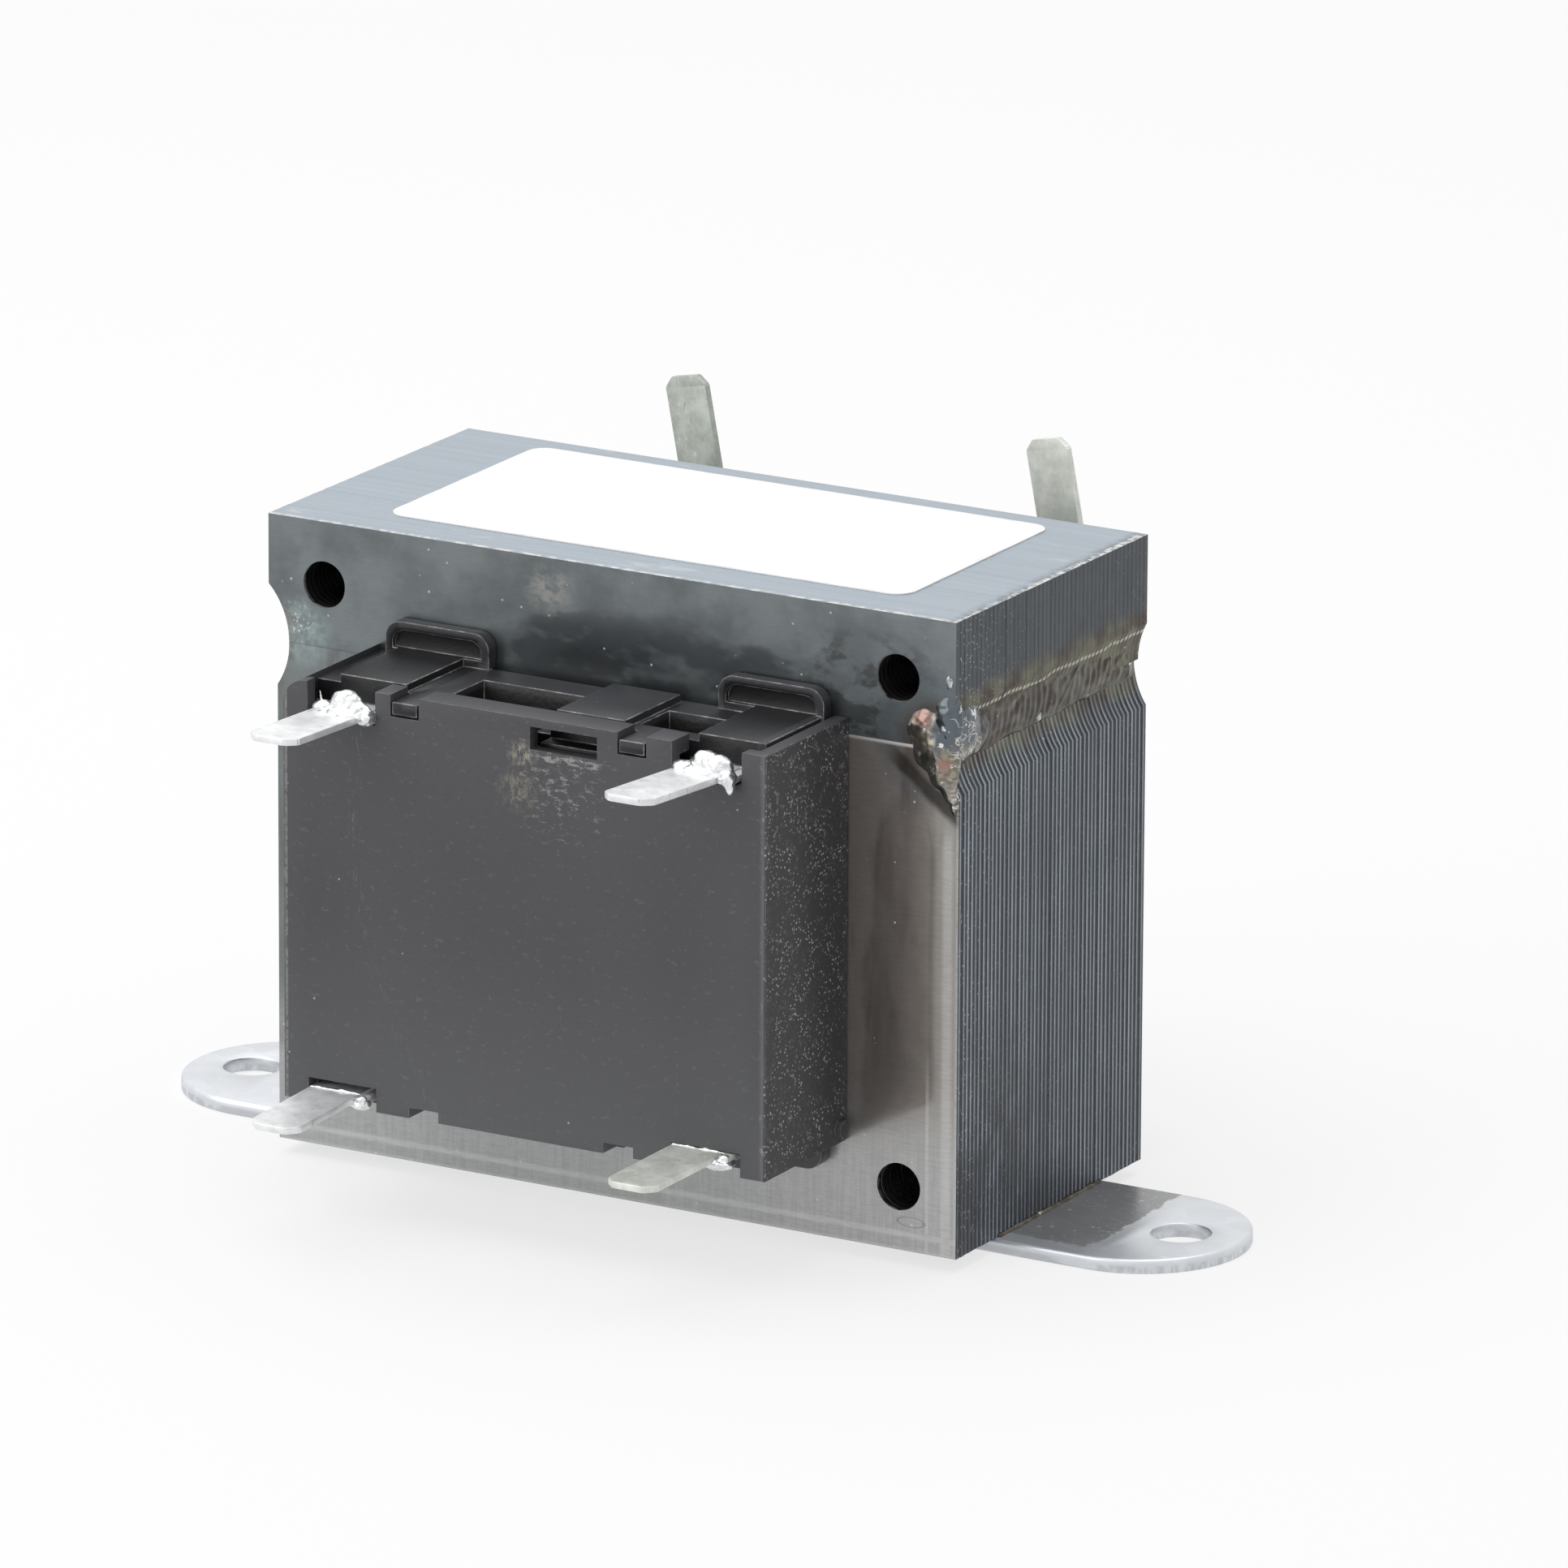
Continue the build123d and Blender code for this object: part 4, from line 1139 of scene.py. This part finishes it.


# %% [markdown]
# The nylon itself is laid first, then the wear of the edges and of the front wall with a painted highlight
# on the left edge, the painted shade and the dust of the side wall, and last what dried or was scratched
# into it. The former adds painted shade in its hollows.

# %% Nylon
def nylon(name, rough, inside):
    moulding = Recipe(name)
    grain = moulding.cloud(2.2, 4.0, rough=0.6)
    cloudy = moulding.cloud(0.09, 3.0)
    side = at_side(moulding)
    moulding.base(cloudy * 0.6 + grain * 0.2, paint(62, 62, 65), paint(74, 74, 78))
    moulding.stain(moulding.fade(moulding.z, 30.0, 8.0) * 0.7, 88, 89, 91)
    scuff = moulding.patches(0.52, 0.66, 1.5, 5.0, (1.0, 1.0, 0.5), 0.75)
    ahead = moulding.fade(moulding.y, -cover_face + 0.9, -cover_face + 0.2)
    right = moulding.fade(moulding.x, cover_right - 0.7, cover_right - 0.2)
    left = moulding.fade(moulding.x, cover_left + 0.4, cover_left + 0.1)
    # The band on the front right edge is pale scuffs; the weaker one on the front left edge is a painted
    # highlight
    edge = moulding.most(ahead * right, ahead * left * 0.6)
    moulding.stain(edge * (scuff * 0.7 + 0.25), 150, 150, 150)
    # Painted shade: the right side wall, turned away from the lamps, is painted darker
    moulding.stain(side * 0.8, 42, 42, 44)
    window_wear_and_edge_highlight(moulding, grain)
    smear = moulding.patches(0.56, 0.66, 1.3, 5.0, (1.0, 1.0, 0.7), 0.8, (5.0, 0.0, 2.0))
    high = moulding.fade(moulding.z, 34.0, 44.0)
    moulding.stain(smear * side * (0.15 + high * 0.5), 170, 170, 170)
    dust = moulding.most(moulding.specks(1.4, 0.2, 0.45), moulding.specks(2.8, 0.32, 0.55)) * side
    dust = dust * moulding.patches(0.38, 0.6, 0.35, 4.0)
    few = moulding.specks(0.8, 0.1, 0.04)
    moulding.stain(moulding.most(dust, few) * 0.75, 198, 198, 196)
    flux_and_scratches(moulding)
    if inside:
        hollows_in_painted_shade(moulding)
    rough = rough + cloudy * 0.12 + grain * 0.08 + dust * 0.3
    height = grain * 0.5 + scuff * edge
    specular = 0.35 if inside else 0.5
    return moulding.finish(rough, height=height, depth=0.06, Specular_IOR_Level=specular)


# Painted highlight and dust: the rounded edges of the mouldings are painted pale, for the thin bright
# highlights along them and the whitish dust on them
def edge_highlight_and_dust():
    rubbed = Recipe("edge_highlight_and_dust")
    patchy = rubbed.cloud(0.8, 4.0, rough=0.7)
    rubbed.base(rubbed.fade(patchy, 0.4, 0.7), paint(82, 82, 84), paint(164, 164, 164))
    return rubbed.finish(0.24 + patchy * 0.2, height=patchy, depth=0.03)


cover_nylon = nylon("cover_nylon", rough=0.4, inside=False)
former_nylon = nylon("former_nylon", rough=0.26, inside=True)
nylon_edge_highlight_and_dust = edge_highlight_and_dust()
for node, width, finish in (
    ("front_end_cover", 0.14, cover_nylon),
    ("rear_end_cover", 0.14, cover_nylon),
    ("coil_former", 0.12, former_nylon),
):
    shape = softened(solid_in_mm(node), width, edge_slot=1)
    add_piece(node + "_moulding", shape, [finish, nylon_edge_highlight_and_dust], node)

# %% [markdown]
# ## Blades
# The terminals are stamped from brass strip and tinned. Their solids are right but every corner is
# sharp, while a stamping has a soft rolled edge and its tip corners are a little round. The front
# upper ones are bright and silvery; the others are rougher and mottled, and their tin is painted darker and
# grey-green as painted shade: lit and shaded copies of one tin.

# %% Tinned brass
def tinned(name, bright, dull, rough):
    tin = Recipe(name)
    mottle = tin.cloud(0.45, 4.0, rough=0.7)
    brushed = tin.cloud(1.4, 4.0, (4.0, 0.25, 0.25), 0.6)
    tin.base(tin.fade(mottle, 0.35, 0.65), dull, bright)
    tin.stain(tin.specks(1.2, 0.18, 0.1) * 0.5, 120, 122, 116)
    tin.stain(tin.patches(0.62, 0.7, 1.8, 4.0, rough=0.7) * 0.5, 242, 243, 244)
    scratch = tin.patches(0.68, 0.72, 0.7, 2.0, (3.0, 3.0, 0.6), 0.5, (2.0, 0.0, 4.0))
    tin.stain(scratch * 0.3, 96, 98, 94)
    height = brushed * 0.6 + mottle * 0.4
    return tin.finish(rough + mottle * 0.2, metallic=0.4, height=height, depth=0.03)


tin_painted_lit = tinned("tin_painted_lit", paint(244, 245, 246), paint(224, 226, 226), rough=0.34)
tin_painted_half_shaded = tinned("tin_painted_half_shaded", paint(232, 235, 228), paint(208, 213, 204), rough=0.42)
tin_painted_shaded = tinned("tin_painted_shaded", paint(192, 197, 190), paint(166, 172, 163), rough=0.4)


# %% Six blades
def is_tip_corner(edge):
    """A corner of a tip runs through the thickness of the strip, where two faces meet bluntly."""
    return 0.5 < edge.calc_length() < 0.75 and edge.calc_face_angle(0) < 1.0


def rounded_tips(mesh):
    """The corners of the tip are rounded before all other edges."""
    with edited(mesh) as body:
        corners = [edge for edge in body.edges if is_tip_corner(edge)]
        bmesh.ops.bevel(body, geom=corners, offset=0.12, segments=2, affect="EDGES", clamp_overlap=True)
    return mesh


# Painted light and shade: each blade gets the tin painted for the light on it; the lower left one gets the
# lit tin to make up for the shade it stands in
blades = {
    "front_upper_left": tin_painted_lit,
    "front_upper_right": tin_painted_lit,
    "front_lower_left": tin_painted_lit,
    "front_lower_right": tin_painted_half_shaded,
    "rear_left": tin_painted_shaded,
    "rear_right": tin_painted_half_shaded,
}
for place, finish in blades.items():
    shape = softened(rounded_tips(solid_in_mm("terminal_" + place)), 0.07)
    add_piece("blade_" + place, shape, [finish], "terminal_" + place)

# %% [markdown]
# ## Solder
# Each wire is soldered where its lug leaves the cover. On the upper blades that is a crumpled
# bright heap over the whole root, below the lower ones a small drop. Each joint is its own mix of
# ellipsoids, given in millimetres from the middle of the blade: to the right, outwards, upwards.

# %% Soft solder
def solder_finish():
    solder = Recipe("soft_solder")
    fine = solder.cloud(1.6, 4.0, rough=0.65)
    solder.base(solder.fade(fine, 0.35, 0.65), paint(206, 208, 210), paint(246, 247, 248))
    flux = solder.patches(0.58, 0.7, 0.5, 3.0, rough=0.6, shift=(1.0, 3.0, 2.0))
    solder.stain(flux * 0.5, 214, 206, 176)
    return solder.finish(0.14 + fine * 0.2, metallic=0.9, height=fine, depth=0.05)


# %% Solder as blobs
heap = [
    ((0.4, 0.3, 0.05), (2.8, 1.0, 0.6), (0, 0, 0)),
    ((0.9, -0.1, 0.75), (1.5, 0.9, 1.15), (0, 16, 10)),
    ((3.0, 0.35, -0.1), (0.85, 1.0, 0.75), (0, 0, 10)),
    ((-1.5, 0.1, 0.3), (0.9, 0.8, 0.5), (0, -10, 0)),
    ((2.2, 0.0, 0.35), (1.0, 0.8, 0.75), (0, 20, 0)),
]
spiked = [
    *heap,
    ((-1.9, -0.35, 0.9), (0.16, 0.16, 0.7), (0, -12, 0)),
    ((0.4, 1.1, 0.05), (1.7, 0.6, 0.3), (0, 0, 0)),
]
full = [
    *heap,
    ((2.0, 0.1, 0.7), (1.4, 0.9, 1.0), (0, 8, 0)),
    ((3.5, 0.7, -0.6), (0.4, 0.5, 0.8), (0, 0, 0)),
]
drop = [
    ((2.9, 0.3, -0.1), (0.9, 0.9, 0.55), (0, 0, 0)),
    ((2.0, 0.4, 0.0), (1.1, 0.8, 0.35), (0, 0, 0)),
    ((0.2, 0.02, 0.62), (2.7, 0.22, 0.16), (0, 0, 0)),
    ((3.1, 0.8, 0.5), (0.45, 0.4, 0.3), (0, 0, 0)),
]
wide_drop = [*drop, ((2.6, 0.9, -0.15), (1.4, 0.8, 0.5), (0, 0, 0))]

# %% [markdown]
# A joint is given by the middle of its blade, the side it faces, the level of the lug's face that
# the solder lies on, and its blobs. The rear blades face the other way, so theirs are turned round.

# %% Six joints
blade_thickness = 0.6
upper_top = former_top + 0.25
lower_left_under = yoke_top - 0.88 - blade_thickness
lower_right_under = yoke_top - 0.28 - blade_thickness
joints = {
    "front_upper_left": (-18.8, 1, upper_top, spiked),
    "front_upper_right": (16.19, 1, upper_top, full),
    "front_lower_left": (-19.32, 1, lower_left_under, drop),
    "front_lower_right": (16.18, 1, lower_right_under, wide_drop),
    "rear_left": (-17.96, -1, upper_top, heap),
    "rear_right": (17.85, -1, upper_top, heap),
}
soft_solder = solder_finish()
for index, (place, (middle, turn, level, blobs)) in enumerate(joints.items()):
    root = (middle, -turn * cover_face, level)
    blobs = placed(blobs, root, (turn, -turn, 1))
    shape = melted(blobs, voxel=0.1, wobble=0.15, grain=0.9, seed=10.0 * index, smoothing=3)
    add_piece("joint_" + place, shape, [soft_solder], "solder_" + place)

# %% [markdown]
# ## Inside the covers
# Little of the coil shows, but through the openings one sees its film wrap, and the ends of the
# windings that run to the lugs. The coil's solids stay and get their finishes: copper wire as
# fine ridges with enamel over it, and yellow film wound in overlapping turns. The wire ends are
# drawn as round curves along the run of their solids.

# %% Copper and film
wire_pitch = 0.55
film_width = 9.5


def copper_finish():
    copper = Recipe("enamelled_wire")
    ridge = copper.band(copper.single("FRACT", copper.z / wire_pitch), 0.15, 0.85, 0.14)
    uneven = copper.cloud(0.4, 3.0, (1.0, 1.0, 4.0), 0.5)
    copper.base(ridge * 0.7 + uneven * 0.3, paint(96, 44, 22), paint(196, 104, 58))
    rough = 0.22 + uneven * 0.15
    return copper.finish(rough, metallic=0.85, height=ridge, depth=0.12, Coat_Weight=0.4)


def film_finish():
    film = Recipe("polyester_film")
    fold = film.cloud(0.3, 4.0, (1.0, 1.0, 0.2), 0.6)
    lap = film.fade(film.single("FRACT", film.z / film_width), 0.05, 0.09)
    film.base(fold * 0.5 + lap * 0.3, paint(168, 138, 70), paint(214, 190, 118))
    return film.finish(0.16 + fold * 0.12, height=lap * 0.6 + fold, depth=0.1)


wire_finish = copper_finish()
film = film_finish()
for node, finish in (
    ("primary_winding", wire_finish),
    ("secondary_winding", wire_finish),
    ("winding_barrier", film),
    ("coil_wrap", film),
):
    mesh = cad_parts[node].data
    mesh.materials.clear()
    mesh.materials.append(finish)
    print("finish on solid:", node)


# %% Wire ends
def wire_end(place):
    low, high = [corner * 1000 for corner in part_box("lead_" + place)]
    middle = (low.x + high.x) / 2
    radius = 0.33
    outer, inner = (low.y, high.y) if low.y < 0 else (high.y, low.y)
    away = math.copysign(1, outer)
    start, end = (low.z, high.z) if "lower" not in place else (high.z, low.z)
    inwards = math.copysign(1, end - start)
    curve = bpy.data.curves.new("wire", "CURVE")
    curve.dimensions = "3D"
    curve.bevel_depth = radius
    curve.bevel_resolution = 4
    curve.use_fill_caps = True
    spline = curve.splines.new("NURBS")
    run = outer - away * radius
    path = [
        (middle, inner, start + inwards * radius),
        (middle, (inner + run) / 2, start + inwards * radius),
        (middle, run, start + inwards * radius * 1.3),
        (middle, run, (start + end) / 2),
        (middle, run, end),
    ]
    spline.points.add(len(path) - 1)
    for point, where in zip(spline.points, path):
        point.co = (*where, 1)
    spline.use_endpoint_u = True
    spline.order_u = 3
    mesh = applied(curve)
    mesh.shade_smooth()
    return mesh


for place in blades:
    add_piece("wire_" + place, wire_end(place), [wire_finish], "lead_" + place)

# %% [markdown]
# ## Label
# The rating label is a white film stuck across the bars, and it stays bare. It follows the bars
# a little, so its surface is not quite flat, and its edge is slightly grubby. A grid cut to the
# rounded outline would have a ragged edge, so the outline is filled with one face and then cut
# into strips both ways, and its top is moved up and down by a few hundredths of a millimetre.

# %% White film
def label_film():
    label = Recipe("white_label")
    mottled = label.cloud(0.2, 3.0)
    label.base(mottled, paint(247, 247, 246), paint(253, 253, 253))
    near_end = label.most(label.fade(label.x, 24.6, 25.3), label.fade(label.x, -24.6, -25.3))
    near_side = label.most(label.fade(label.y, 13.2, 13.8), label.fade(label.y, -10.9, -11.4))
    grime = label.most(near_end, near_side) * label.patches(0.45, 0.65, 0.5, 4.0)
    label.stain(grime * 0.3, 206, 208, 208)
    waves = label.cloud(0.12, 2.0, (0.3, 2.0, 1.0))
    return label.finish(0.42 + mottled * 0.1, height=waves, depth=0.05)


# %% Label
low, high = [end * 1000 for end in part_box("rating_label")]
label_corner = 1.8
outline = []
for quarter, (x, y) in enumerate(((high.x, high.y), (low.x, high.y), (low.x, low.y), (high.x, low.y))):
    x -= math.copysign(label_corner, x - (low.x + high.x) / 2)
    y -= math.copysign(label_corner, y - (low.y + high.y) / 2)
    for step in range(9):
        angle = math.pi / 2 * (quarter + step / 8)
        outline.append((x + label_corner * math.cos(angle), y + label_corner * math.sin(angle)))
body = bmesh.new()
body.faces.new([body.verts.new((x, y, low.z)) for x, y in outline])
for axis, parts in ((0, 40), (1, 20)):
    across = Vector((1 - axis, axis, 0))
    for part in range(1, parts):
        place = across * (low[axis] + (high[axis] - low[axis]) * part / parts)
        everything = [*body.verts, *body.edges, *body.faces]
        bmesh.ops.bisect_plane(body, geom=everything, plane_co=place, plane_no=across)
skin = bmesh.ops.extrude_face_region(body, geom=list(body.faces))
top_points = [item for item in skin["geom"] if isinstance(item, bmesh.types.BMVert)]
for vertex in top_points:
    wave = noise.noise(Vector((vertex.co.x * 0.08, vertex.co.y * 0.5, 0)))
    vertex.co.z = high.z - 0.02 + 0.02 * wave
bmesh.ops.recalc_face_normals(body, faces=body.faces)
label_mesh = bpy.data.meshes.new("label")
body.to_mesh(label_mesh)
body.free()
smooth_by_angle(label_mesh, 40)
add_piece("label", label_mesh, [label_film()], "rating_label")
